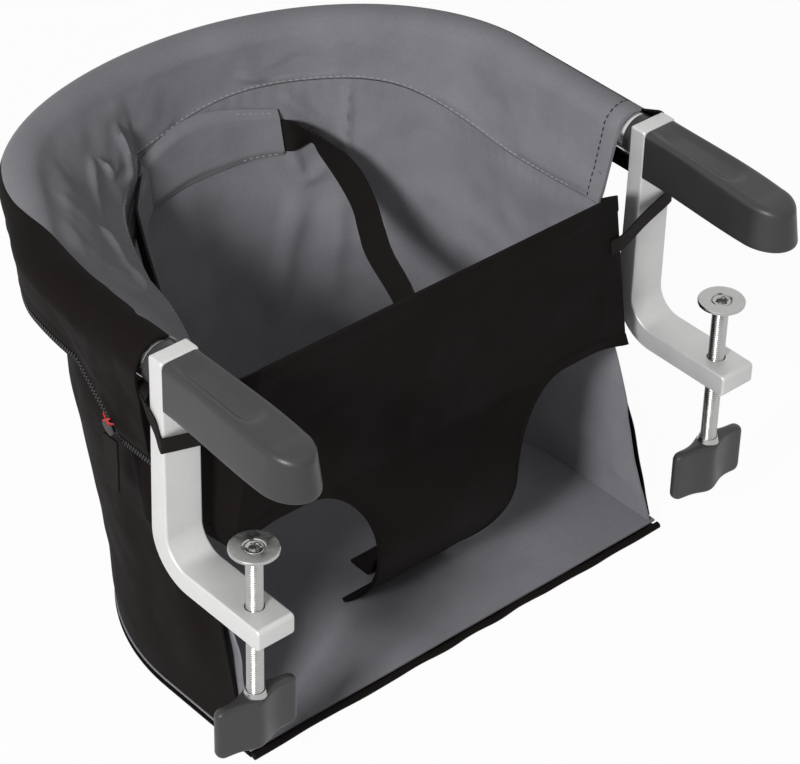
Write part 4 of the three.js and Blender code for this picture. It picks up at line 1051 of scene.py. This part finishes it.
for name, start, end in wall_pieces:
    columns = slice(start * WALL_STEPS, end * WALL_STEPS + 1)
    liner = make_sheet(f"{name}_liner_cloth", liner_grid[:, columns], CLOTH, grey_cloth)
    dress(liner, "seat", "grey_cloth", f"{name}_liner")
    shell = make_sheet(f"{name}_shell_cloth", shell_grid[:, columns], CLOTH, black_cloth)
    dress(shell, "seat", "black_cloth", f"{name}_shell")


sleeve_front = np.where(station < STATIONS / 2, LEFT_SLEEVE_FRONT, SLEEVE_FRONT)


def rim_plan(outset, front):
    """Plan of the rim at an outset from the tube's middle, with the left shoulder pressed in."""
    plan = plan_u(station, CLAMP_X + outset, front, TUBE_BACK + outset, TUBE_BOW)
    return drawn_in(plan, SHOULDER_PRESS * shoulder(station))


sleeve_plan = rim_plan(0, sleeve_front)
sleeve_out = plan_normals(sleeve_plan)


def sleeve_row(degrees):
    """Points on the sleeve at an angle round the tube for each station, 0 outside and 90 on top."""
    angle = np.radians(np.broadcast_to(degrees, len(station)))
    plan = sleeve_plan + sleeve_out * (SLEEVE_R * np.cos(angle))[:, None]
    return np.column_stack([plan, TUBE_Z + SLEEVE_R * np.sin(angle)])


def fair_rows(rows, count):
    """Smooth grid through a few rows of points."""
    rows = np.array(rows)
    return np.stack([spline(rows[:, j], count) for j in range(rows.shape[1])], axis=1)


def cuff_edge(drop):
    """Lower edge of the cuff, with a tail at its left end."""
    plan = rim_plan(CUFF_OUTSET, sleeve_front)
    tail = (plan[:, 0] < 0) * (1 - np.clip((plan[:, 1] - CUFF_TAIL_Y) / CUFF_TAIL_LENGTH, 0, 1))
    return np.column_stack([plan, CUFF_EDGE_Z - CUFF_TAIL_DROP * tail - drop])


def part_of(profile, start, end, count):
    """Grid between two lengths along each column of a dense profile, start and end given per column."""
    columns = []
    for line, low, high in zip(profile.transpose(1, 0, 2), start, end):
        lengths = lengths_along(line)
        wanted = np.linspace(low, lengths[-1] if high is None else high, count)
        columns.append(at_length(line, lengths, wanted))
    return np.array(columns).transpose(1, 0, 2)


# The sleeve's black outer half meets its grey inner half at a seam that wanders round the tube:
# inside on the left, outside round the left shoulder, just outside the top along the rest
SEAM_SHIFTS = [(0, 8.4), (2, 9.6), (3.5, 10.8), (4.2, 9.5), (4.6, 5.5), (5, 0), (5.5, -5), (6, -9),
               (6.5, -11.5), (8, -14.5), (8.6, -19), (9, -22), (11, -23), (13, -14.5), (14, -7.2),
               (16, -5.6), (24, -5.6)]
# Shares of the way from the tube to an edge at which the cloth's straight runs are laid out
RUN_SHARES = (0.07, 0.16, 0.28, 0.43, 0.6, 0.8, 1)
RIM_ROWS = 180
BAND_ROWS = 54
CUFF_ROWS = 40
CUFF_FLARE_STEP = np.array([0.9, -2.4, 0.5])
seam_row = np.column_stack([liner_curve(station, seam_z), seam_z])
sleeve_end = SLEEVE_LAST_ANGLE - SLEEVE_SLACK_ANGLE * slack_along(station)
sleeve_rows = [sleeve_row(lerp(SLEEVE_FIRST_ANGLE, sleeve_end, t)) for t in np.linspace(0, 1, 13)]
outer_run = [lerp(sleeve_rows[0], cuff_edge(0), share) for share in RUN_SHARES]
inner_run = [lerp(sleeve_rows[-1], seam_row, share) for share in RUN_SHARES]
rim_profile = fair_rows([*outer_run[::-1], *sleeve_rows, *inner_run], RIM_ROWS)


def lengths_down(grid):
    """Length along each column of a grid up to each row."""
    return np.stack([lengths_along(column) for column in grid.transpose(1, 0, 2)], axis=1)


travelled = lengths_down(rim_profile)
top_row = np.argmax(rim_profile[..., 2], axis=0)
top_length = smoothed(travelled[top_row, np.arange(len(station))], WALL_STEPS // 2)
from_top = travelled - top_length
to_seam = travelled[-1:] - travelled
BAND_FOLDS = [
    ((-75, 210, 5), (-100, 167, -4), 3.0, -3.6),
    ((-70, 211, 2), (-66, 204, -6), 2.2, -3.4),
    ((-66, 204, -6), (-55, 213, -7), 2.2, -3.2),
    ((-45, 227, 6), (-42, 220, -11), 2.8, -4.2),
    ((-42, 220, -11), (-54, 204, -19), 2.8, -4.2),
    ((-110, 155, 1), (-115, 129, -7), 3.2, -5.0),
    ((-115, 129, -7), (-124, 97, -4), 3.2, -5.0),
    ((51, 230, 4), (68, 223, -4), 2.4, -3.0),
    ((71, 222, -3), (106, 202, -4), 2.6, -3.2),
]
loose_band = smoothstep(12, 26, from_top) * smoothstep(0, 5, to_seam)
loose_cuff = smoothstep(16, 28, -from_top) * smoothstep(0, 4, travelled)
rim_shape = wavy(rim_profile, 38, 3.6, 21) + wavy(rim_profile, 12, 1.1, 2) + folds(rim_profile, BAND_FOLDS)
rim_grid = raised(rim_profile, np.minimum(rim_shape, RIM_GIVE) * np.maximum(loose_band, loose_cuff))
split = top_length + smoothed(np.interp(station, *zip(*SEAM_SHIFTS)), 4)
band_grid = part_of(rim_grid, split + SLEEVE_SEAM_GAP / 2, [None] * len(station), BAND_ROWS)
right_hem = smoothstep(HEM_DEPTH + 1.5, HEM_DEPTH, band_grid[..., 1] - SLEEVE_FRONT) * (band_grid[..., 0] > 0)
band = make_sheet("rim_band_cloth", band_grid, lerp(CLOTH, HEM, right_hem), grey_cloth)
dress(band, "seat", "grey_cloth", "rim_band")

cuff_grid = part_of(rim_grid, np.zeros(len(station)), split - SLEEVE_SEAM_GAP / 2, CUFF_ROWS)[::-1]
# The upper part of the cuff's right end flares out past the band
flare_reach = smoothstep(0.6, 0.3, np.linspace(0, 1, CUFF_ROWS))[:, None]
flare = [cuff_grid[:, -1] + flare_reach * CUFF_FLARE_STEP * k for k in range(1, 5)]
cuff_grid = np.concatenate([cuff_grid, np.stack(flare, axis=1)], axis=1)
cuff_hem = smoothstep(0.9, 0.94, np.linspace(0, 1, CUFF_ROWS))[:, None]
cuff = make_sheet("outer_cuff_cloth", cuff_grid, lerp(CLOTH, HEM, cuff_hem), black_cloth)
dress(cuff, "seat", "black_cloth", "outer_cuff")

# Bent tube, seen at its ends


def frame_tube():
    plan = rim_plan(0, TUBE_FRONT)
    path = np.column_stack([plan, np.full(len(plan), TUBE_Z)])
    piece = make_mesh("frame_tube_bend", *tube_parts(path, TUBE_R, 48), tube_metal)
    dress(piece, "seat", "aluminium", "frame_tube")


frame_tube()

# Zip: tape with teeth, slider, pull and the thread tied above them

BOX_FACES = [(0, 3, 2, 1), (4, 5, 6, 7), (0, 1, 5, 4), (1, 2, 6, 5), (2, 3, 7, 6), (3, 0, 4, 7)]
TOOTH_HALF_SIZES = (0.9, 0.42, 0.5)
TOOTH_LANE = 0.9
TOOTH_STAGGER = 0.5


def zip_chain():
    tape = fair_rows([cuff_edge(SEAM_GAP), cuff_edge(SEAM_GAP + ZIP_WIDTH)], 5)
    chain = make_sheet("zip_chain_tape", tape, CLOTH * 0.6, black_cloth)
    dress(chain, "seat", "black_plastic", "zip_chain")
    middle = spline(cuff_edge(SEAM_GAP + ZIP_WIDTH / 2), ZIP_TEETH)
    out = np.column_stack([plan_normals(middle[:, :2]), np.zeros(len(middle))])
    wide, long, high = TOOTH_HALF_SIZES
    parts = []
    for here, ahead, up in zip(middle, unit(np.gradient(middle, axis=0)), out):
        side = unit(np.cross(ahead, up))
        for lane in (-1, 1):
            centre = here + side * lane * TOOTH_LANE + ahead * lane * TOOTH_STAGGER + up * high
            corners = [centre + side * a * wide + ahead * b * long + up * c * high
                       for c in (-1, 1) for a, b in ((-1, -1), (1, -1), (1, 1), (-1, 1))]
            parts.append((corners, BOX_FACES))
    teeth = make_mesh("zip_teeth", *joined(parts), black_plastic)
    dress(teeth, "seat", "black_plastic")


def zip_slider():
    slope = math.atan2(CUFF_TAIL_DROP, CUFF_TAIL_LENGTH)
    outline = filleted([(-4.5, -2.6, 1), (0, -4, 1.4), (4.5, -3.4, 1), (4.5, 3.4, 1), (0, 4, 1.4),
                        (-4.5, 2.6, 1)], 5)
    turn = np.array([[math.cos(slope), math.sin(slope)], [-math.sin(slope), math.cos(slope)]])
    parts = []
    for scale, low, high, radius in ((1, -1.5, -0.5, 0.4), (0.55, -0.6, 0.7, 0.2), (1, 0.5, 1.5, 0.4)):
        plate = outline @ turn * scale + (SLIDER_Y, SLIDER_Z)
        parts.append(rounded_slab(plate, low, high, radius, side_place(SLIDER_X)))
    piece = make_mesh("zip_slider_body", *joined(parts), black_plastic)
    dress(piece, "zip_slider", "zinc", "zip_slider")


def zip_pull():
    bottom = PULL_TOP_Z - PULL_LENGTH
    route = np.array([(SLIDER_X, SLIDER_Y, z) for z in np.linspace(PULL_TOP_Z, bottom, 6)], float)
    grid = strap_grid(route, np.tile([0.0, 1.0, 0.0], (6, 1)), PULL_WIDTH, 40, 7)
    piece = make_sheet("zip_pull_tab", raised(grid, wavy(grid, 14, 0.35, 9)), WEBBING, webbing)
    dress(piece, "zip_pull", "webbing", "zip_pull")


def zip_tie():
    strands = [[(-3.4, 2.6), (0, 0), (3.2, -2.2)], [(-2.6, -2.8), (0, 0), (2.4, 3.2)],
               [(0, 0), (-3, -0.6), (-6.5, 0.8)]]
    parts = []
    for strand in strands:
        path = [(SLIDER_X - TIE_OUTSET, SLIDER_Y + y, SLIDER_Z + TIE_RISE + z) for y, z in strand]
        parts.append(tube_parts(spline(path, 14), TIE_R, 8))
    piece = make_mesh("zip_tie_thread", *joined(parts), red_thread)
    dress(piece, "zip_slider", "webbing")


zip_chain()
zip_slider()
zip_pull()
zip_tie()

# Seat floor

FLOOR_COLUMNS = 61
PIPING_STEPS = 160


def floor_outline(inset, count=200):
    stations = np.linspace(0, STATIONS, count)
    return plan_u(stations, BASE_HALF_WIDTH - inset, BASE_FRONT + inset, BASE_BACK - inset, BASE_BOW)


def floor_grid(z, inset, rows=46):
    """Level grid over the floor: rows across it from the left edge to the right one, front to back."""
    left = floor_outline(inset)
    left = left[left[:, 0] <= 0.01]
    y = np.linspace(left[0, 1], BASE_BACK - inset - 0.05, rows)
    half = -np.interp(y, left[:, 1], left[:, 0])
    half[-1] = max(half[-1], 4)
    across = np.linspace(-1, 1, FLOOR_COLUMNS)
    grid = np.empty((rows, FLOOR_COLUMNS, 3))
    grid[..., 0] = half[:, None] * across
    grid[..., 1] = y[:, None]
    grid[..., 2] = z
    return grid


def seat_floor():
    top = floor_grid(FLOOR_Z - CLOTH / 2, 0)
    edge = 1 - np.abs(np.linspace(-1, 1, FLOOR_COLUMNS)) ** 6
    top[..., 2] += edge * np.minimum(0, wavy(top, 60, 0.8, 41) - 0.2)
    liner = make_sheet("base_liner_cloth", top, CLOTH, grey_cloth)
    dress(liner, "seat", "grey_cloth", "base_liner")
    low = floor_grid(COVER_Z, 0)
    low[..., 2] += edge * np.maximum(0, wavy(low, 50, 0.5, 43))
    cover = make_sheet("base_cover_cloth", low, CLOTH, black_cloth)
    dress(cover, "seat", "black_cloth", "base_cover")
    end = np.array([BASE_HALF_WIDTH, PIPING_Y, PIPING_Z])
    path = np.linspace(end * (-1, 1, 1), end, PIPING_STEPS)
    path[:, 1] += wavy(path, 26, 0.8, 51)
    path[:, 2] += wavy(path, 22, 1.0, 52)
    piping = make_mesh("base_piping_cord", *tube_parts(path, PIPING_R, 14), black_cloth)
    dress(piping, "seat", "black_cloth", "base_piping")
    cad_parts["base_board"].data.materials.clear()
    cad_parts["base_board"].data.materials.append(board)


seat_floor()

# Front panel with leg holes and crotch strip


def panel_height(z):
    return np.clip((z - PANEL_FOOT_Z) / (CROTCH_Z - PANEL_FOOT_Z), 0, 1)


def panel_depth(z):
    fall = np.clip((LEG_TOP_Z - z) / (LEG_TOP_Z - CROTCH_Z), 0, 1)
    swell = PANEL_Y - PANEL_BULGE * np.sin(math.pi / 2 * fall)
    return lerp(swell, CROTCH_FOOT_Y, (1 - panel_height(z)) ** 1.75)


def leg_edge():
    """Lower edge of the panel's right half from the middle: strip foot, strip side, leg hole, ear."""
    foot = [(x, PANEL_FOOT_Z) for x in np.linspace(0, CROTCH_FOOT_HALF_WIDTH, 16)]
    strip = []
    for z in np.linspace(PANEL_FOOT_Z, CROTCH_Z, 16)[1:-1]:
        strip.append((lerp(CROTCH_FOOT_HALF_WIDTH, CROTCH_HALF_WIDTH, panel_height(z) ** 0.6), z))
    arc = []
    for a in np.linspace(0, math.pi / 2, 26):
        x = CROTCH_HALF_WIDTH + LEG_ROUND_WIDTH * (1 - math.cos(a))
        arc.append((x, lerp(CROTCH_Z, LEG_TOP_Z, math.sin(a))))
    flat_end = PANEL_EAR_HALF_WIDTH - PANEL_EAR_LENGTH
    flat = [(x, LEG_TOP_Z) for x in np.linspace(CROTCH_HALF_WIDTH + LEG_ROUND_WIDTH, flat_end, 8)[1:]]
    ear = [(lerp(flat_end, PANEL_EAR_HALF_WIDTH, t), lerp(LEG_TOP_Z, PANEL_EAR_Z, t ** 1.5))
           for t in np.linspace(0, 1, 9)[1:]]
    return np.array(foot + strip + arc + flat + ear)


def front_panel():
    rows = 80
    columns = []
    for x, bottom in leg_edge():
        z = lerp(PANEL_TOP_Z, bottom, np.linspace(0, 1, rows))
        fall = np.clip((PANEL_TOP_Z - z) / (PANEL_TOP_Z - PANEL_EAR_Z), 0, 1)
        spread = lerp(PANEL_TOP_HALF_WIDTH, PANEL_EAR_HALF_WIDTH, fall)
        columns.append(np.column_stack([x * spread / PANEL_EAR_HALF_WIDTH, panel_depth(z), z]))
    corner = columns[-1]
    z = lerp(PANEL_RETURN_TOP_Z, PANEL_EAR_Z, np.linspace(0, 1, rows))
    end = np.column_stack([liner_half_width(z), np.full(rows, WALL_FRONT_Y - SEAM_GAP), z])
    for t in np.linspace(0, 1, 9)[1:]:
        columns.append(lerp(corner, end, np.array([t ** 0.8, t, t])))
    right = np.array(columns)
    left = (right * [-1, 1, 1])[:0:-1]
    grid = np.concatenate([left, right]).transpose(1, 0, 2)
    share = np.linspace(0, 1, rows)[:, None]
    free = smoothstep(0.05, 0.25, share) * (1 - smoothstep(0.85, 1, share)) * (np.abs(grid[..., 0]) < 125)
    grid = raised(grid, free * (wavy(grid, 48, 1.8, 61) + wavy(grid, 16, 0.5, 62)))
    drop = PANEL_TOP_Z - grid[..., 2]
    rise = np.linalg.norm(grid - grid[-1:], axis=-1)
    thick = lerp(HEM, CLOTH, smoothstep(10, 11.5, drop) * smoothstep(7, 8.5, rise))
    piece = make_sheet("front_panel_cloth", grid, thick, black_cloth)
    dress(piece, "seat", "black_cloth", "front_panel")


front_panel()

# Harness


def on_back_wall(reach, z, offset):
    """Point at an offset inside the back wall and at a reach along it from the middle, left negative."""
    stations = np.linspace(SIDE_STATIONS, STATIONS - SIDE_STATIONS, 241)
    plan = liner_curve(stations, np.full(len(stations), z))
    inward = -plan_normals(plan)
    lengths = lengths_along(plan)
    lengths -= np.interp(0, plan[:, 0], lengths)
    place = at_length(plan, lengths, reach) + at_length(inward, lengths, reach) * offset
    return np.array([*place, z])


STRAP_OFFSET = CLOTH / 2 + KEEPER_PLAY + WEBBING / 2 + 0.8
KEEPER_OFFSET = STRAP_OFFSET + WEBBING / 2 + KEEPER_PLAY + CLOTH / 2
KEEPER_EDGE_OFFSET = CLOTH + KEEPER_PLAY


def harness_keeper():
    columns, rows = 90, 26
    reach = np.linspace(KEEPER_LEFT, KEEPER_RIGHT, columns)
    top = spline(KEEPER_TOP, 200)
    bottom = spline(KEEPER_BOTTOM, 200)
    top_z = np.interp(reach, top[:, 0], top[:, 1])
    bottom_z = np.interp(reach, bottom[:, 0], bottom[:, 1])
    share = np.linspace(0, 1, rows)
    lift = smoothstep(0, 0.16, share) * smoothstep(0, 0.16, 1 - share)
    grid = np.array([[on_back_wall(at, lerp(high, low, t), lerp(KEEPER_EDGE_OFFSET, KEEPER_OFFSET, h))
                      for at, high, low in zip(reach, top_z, bottom_z)] for t, h in zip(share, lift)])
    free = smoothstep(0, 0.12, share) * smoothstep(0, 0.12, 1 - share)
    grid = raised(grid, wavy(grid, 22, 0.7, 71) * free[:, None])
    piece = make_sheet("harness_keeper_patch", grid, CLOTH, grey_cloth)
    dress(piece, "seat", "grey_cloth", "harness_keeper")
    normal = -grid_normals(grid)
    stitched = slice(columns * 4 // 5, columns - 2)
    sewn = []
    for row in (2, rows - 3):
        up = normal[row, stitched]
        sewn.append(stitch_parts(grid[row, stitched] + up * CLOTH * STITCH_RISE, up))
    stitches = make_mesh("keeper_stitches", *joined(sewn), grey_thread)
    dress(stitches, "seat", "grey_cloth")


def lap_strap():
    end_y = TONGUE_Y + TONGUE_HALF_THICKNESS + GAP + WEBBING / 2
    low_end = TONGUE_TOP_Z + 1
    points = [(-TONGUE_X, end_y, low_end), *LAP_LEFT_ROUTE]
    across = [(0, 0, 1)] * len(points)
    for reach in (*np.linspace(LAP_KEPT_LEFT, KEEPER_RIGHT, 9), KEEPER_RIGHT + KEEPER_LEAD):
        offset = STRAP_OFFSET if reach <= KEEPER_RIGHT else KEEPER_OFFSET
        upper = on_back_wall(reach, LAP_KEPT_Z + WEBBING_WIDTH / 2, offset)
        lower = on_back_wall(reach, LAP_KEPT_Z - WEBBING_WIDTH / 2, offset)
        points.append(tuple((upper + lower) / 2))
        across.append(tuple(unit(upper - lower)))
    for point, direction in [*LAP_RIGHT_ROUTE, ((TONGUE_X, end_y, low_end), (0, 0, 1))]:
        points.append(point)
        across.append(direction)
    grid = strap_grid(np.array(points, float), np.array(across, float), WEBBING_WIDTH, 260)
    piece = make_sheet("lap_strap_web", grid, WEBBING, webbing)
    dress(piece, "seat", "webbing", "lap_strap")


def crotch_strap():
    t = np.linspace(0, 1, 12)
    floor = FLOOR_Z + GAP + WEBBING / 2
    y = TONGUE_Y + CROTCH_STRAP_REACH * t ** 1.7
    z = lerp(BUCKLE_BOTTOM_Z - GAP, floor, t)
    points = np.column_stack([np.zeros(12), y, z])
    points = np.concatenate([points, [(0, y[-1] + CROTCH_STRAP_SEWN, floor)]])
    grid = strap_grid(points, np.tile([1.0, 0.0, 0.0], (13, 1)), WEBBING_WIDTH, 90)
    piece = make_sheet("crotch_strap_web", grid, WEBBING, webbing)
    dress(piece, "seat", "webbing", "crotch_strap")


def buckle():
    half = BUCKLE_HALF_WIDTH
    body = filleted([(-half, BUCKLE_TOP_Z, 3), (half, BUCKLE_TOP_Z, 3), (half * 0.8, BUCKLE_BOTTOM_Z, 5),
                     (-half * 0.8, BUCKLE_BOTTOM_Z, 5)])
    block = rounded_slab(body, BUCKLE_FRONT, BUCKLE_BACK, 2, facing_place)
    piece = make_mesh("harness_buckle_body", *block, black_plastic)

    def centred(half_width, middle, half_height, radius, steps=8):
        return rectangle(-half_width, middle - half_height, half_width, middle + half_height, radius, steps)

    well = centred(BUTTON_HALF_WIDTH + GAP, BUTTON_Z, BUTTON_HALF_HEIGHT + GAP, 2)
    cut_by(piece, *rounded_slab(well, BUCKLE_BACK - 5, BUCKLE_BACK + 4, 0.4, facing_place))
    dress(piece, "seat", "black_plastic", "harness_buckle")
    face = centred(BUTTON_HALF_WIDTH, BUTTON_Z, BUTTON_HALF_HEIGHT, 2)
    parts = [rounded_slab(face, BUCKLE_BACK - 1.7, BUTTON_BACK - 0.6, 0.8, facing_place)]
    for rise in np.linspace(-4, 4, 5):
        rib = centred(BUTTON_RIB_HALF_LENGTH, BUTTON_Z + rise, BUTTON_RIB_HALF_HEIGHT, 0.45, 4)
        parts.append(rounded_slab(rib, BUTTON_BACK - 1, BUTTON_BACK, 0.3, facing_place))
    button = make_mesh("buckle_button_face", *joined(parts), plastic)
    dress(button, "buckle_button", "dark_plastic", "buckle_button")
    for side, x in (("left", -TONGUE_X), ("right", TONGUE_X)):
        outline = rectangle(x - TONGUE_HALF_WIDTH, TONGUE_TOP_Z, x + TONGUE_HALF_WIDTH, BUCKLE_TOP_Z + GAP, 2)
        bar = rounded_slab(outline, TONGUE_Y - TONGUE_HALF_THICKNESS, TONGUE_Y + TONGUE_HALF_THICKNESS, 0.7,
                           facing_place)
        tongue = make_mesh(f"{side}_buckle_tongue_bar", *bar, black_plastic)
        dress(tongue, "seat", "black_plastic", f"{side}_buckle_tongue")


harness_keeper()
lap_strap()
crotch_strap()
buckle()

# Stitched seams


def seam_stitches():
    normal = grid_normals(band_grid)
    inward = np.where(normal[-1, :, 1:2] > 0, -normal[-1], normal[-1])
    row = band_grid[-2] + inward * CLOTH * STITCH_RISE
    piece = make_mesh("band_seam_stitches", *stitch_parts(row, inward), grey_thread)
    dress(piece, "seat", "grey_cloth")
    middle_row = band_grid[BAND_ROWS // 2, len(station) // 2:]
    hem = len(station) // 2 + np.argmin(np.abs(middle_row[:, 1] - SLEEVE_FRONT - HEM_DEPTH))
    facing = normal[:, hem] * np.sign(normal[:, hem] @ np.array([-1, 0, 1]))[:, None]
    column = band_grid[:, hem] + facing * HEM * STITCH_RISE
    piece = make_mesh("band_hem_stitches", *stitch_parts(column, facing), dark_thread)
    dress(piece, "seat", "grey_cloth")


seam_stitches()

# Camera at the photograph's view, lights, floor and backdrop

IMAGE_WIDTH = 800
CAMERA_FOCAL_PIXELS = 3162.7
CAMERA_AZIMUTH = math.radians(-42.18)
CAMERA_ELEVATION = math.radians(36.64)
CAMERA_ROLL = math.radians(1.47)
CAMERA_DISTANCE = 1755.8
CAMERA_TARGET = Vector((-21.59, 0.18, -58.5))
# Lamps: places and sizes in metres, power in watts
LAMP_TARGET = Vector((0, 0.05, -0.1))
KEY_PLACE = (-1.7, -0.66, 0.98)
KEY_POWER = 33
KEY_SIZE = 0.42
FILL_PLACE = (0.3, -0.4, 2.0)
FILL_POWER = 3
FILL_SIZE = 1.2
WORLD_LIGHT = 0.195
FLOOR_GLOW = 0.96
FLOOR_HALF_WIDTH = 4000
FLOOR_DROP = 0.5


def add_camera():
    azimuth, elevation = CAMERA_AZIMUTH, CAMERA_ELEVATION
    away = Vector((math.sin(azimuth) * math.cos(elevation), -math.cos(azimuth) * math.cos(elevation),
                   math.sin(elevation)))
    right = Vector((math.cos(azimuth), math.sin(azimuth), 0))
    up = away.cross(right)
    turned_right = right * math.cos(CAMERA_ROLL) + up * math.sin(CAMERA_ROLL)
    turned_up = up * math.cos(CAMERA_ROLL) - right * math.sin(CAMERA_ROLL)
    lens = bpy.data.cameras.new("photo_camera")
    lens.sensor_fit = "HORIZONTAL"
    lens.sensor_width = 36
    lens.lens = lens.sensor_width * CAMERA_FOCAL_PIXELS / IMAGE_WIDTH
    lens.clip_start = 0.05
    lens.clip_end = 50
    camera = bpy.data.objects.new("photo_camera", lens)
    axes = Matrix((turned_right, turned_up, away)).transposed().to_4x4()
    camera.matrix_world = Matrix.Translation((CAMERA_TARGET + away * CAMERA_DISTANCE) * MM) @ axes
    bpy.context.scene.collection.objects.link(camera)
    bpy.context.scene.camera = camera


def add_lamp(name, place, power, size):
    lamp = bpy.data.lights.new(name, "AREA")
    lamp.energy = power
    lamp.size = size
    holder = bpy.data.objects.new(name, lamp)
    holder.location = place
    holder.rotation_euler = (LAMP_TARGET - Vector(place)).to_track_quat("-Z", "Y").to_euler()
    bpy.context.scene.collection.objects.link(holder)


def seen_directly(tree):
    """1 for what the camera, a reflection or a clear piece sees, 0 for light on surfaces."""
    path = tree.nodes.new("ShaderNodeLightPath").outputs
    return combined(tree, "MAXIMUM", path["Is Camera Ray"],
                    combined(tree, "MAXIMUM", path["Is Glossy Ray"], path["Is Transmission Ray"]))


def add_floor():
    material, tree, shader, _ = new_material("pale_floor")
    shader.inputs["Base Color"].default_value = (0.9, 0.9, 0.9, 1)
    shader.inputs["Roughness"].default_value = 0.9
    shader.inputs["Specular IOR Level"].default_value = 0.1
    glow = node(tree, "ShaderNodeEmission", Color=(1, 1, 1, 1), Strength=1.0)
    mix = tree.nodes.new("ShaderNodeMixShader")
    tree.links.new(combined(tree, "MULTIPLY", seen_directly(tree), FLOOR_GLOW), mix.inputs["Fac"])
    tree.links.new(shader.outputs["BSDF"], mix.inputs[1])
    tree.links.new(glow.outputs["Emission"], mix.inputs[2])
    tree.links.new(mix.outputs["Shader"], tree.nodes["Material Output"].inputs["Surface"])
    low = cad_box[0][2] / MM - FLOOR_DROP
    half = FLOOR_HALF_WIDTH
    corners = [(-half, -half, low), (half, -half, low), (half, half, low), (-half, half, low)]
    make_mesh("floor", corners, [(0, 1, 2, 3)], material)


def add_world():
    world = bpy.data.worlds.new("studio")
    world.use_nodes = True
    tree = world.node_tree
    background = tree.nodes["Background"]
    background.inputs["Color"].default_value = (1, 1, 1, 1)
    tree.links.new(ranged(tree, seen_directly(tree), WORLD_LIGHT, 1.0), background.inputs["Strength"])
    bpy.context.scene.world = world


add_camera()
add_lamp("left_key", KEY_PLACE, KEY_POWER, KEY_SIZE)
add_lamp("top_fill", FILL_PLACE, FILL_POWER, FILL_SIZE)
add_floor()
add_world()
bpy.context.scene.view_settings.view_transform = "Standard"
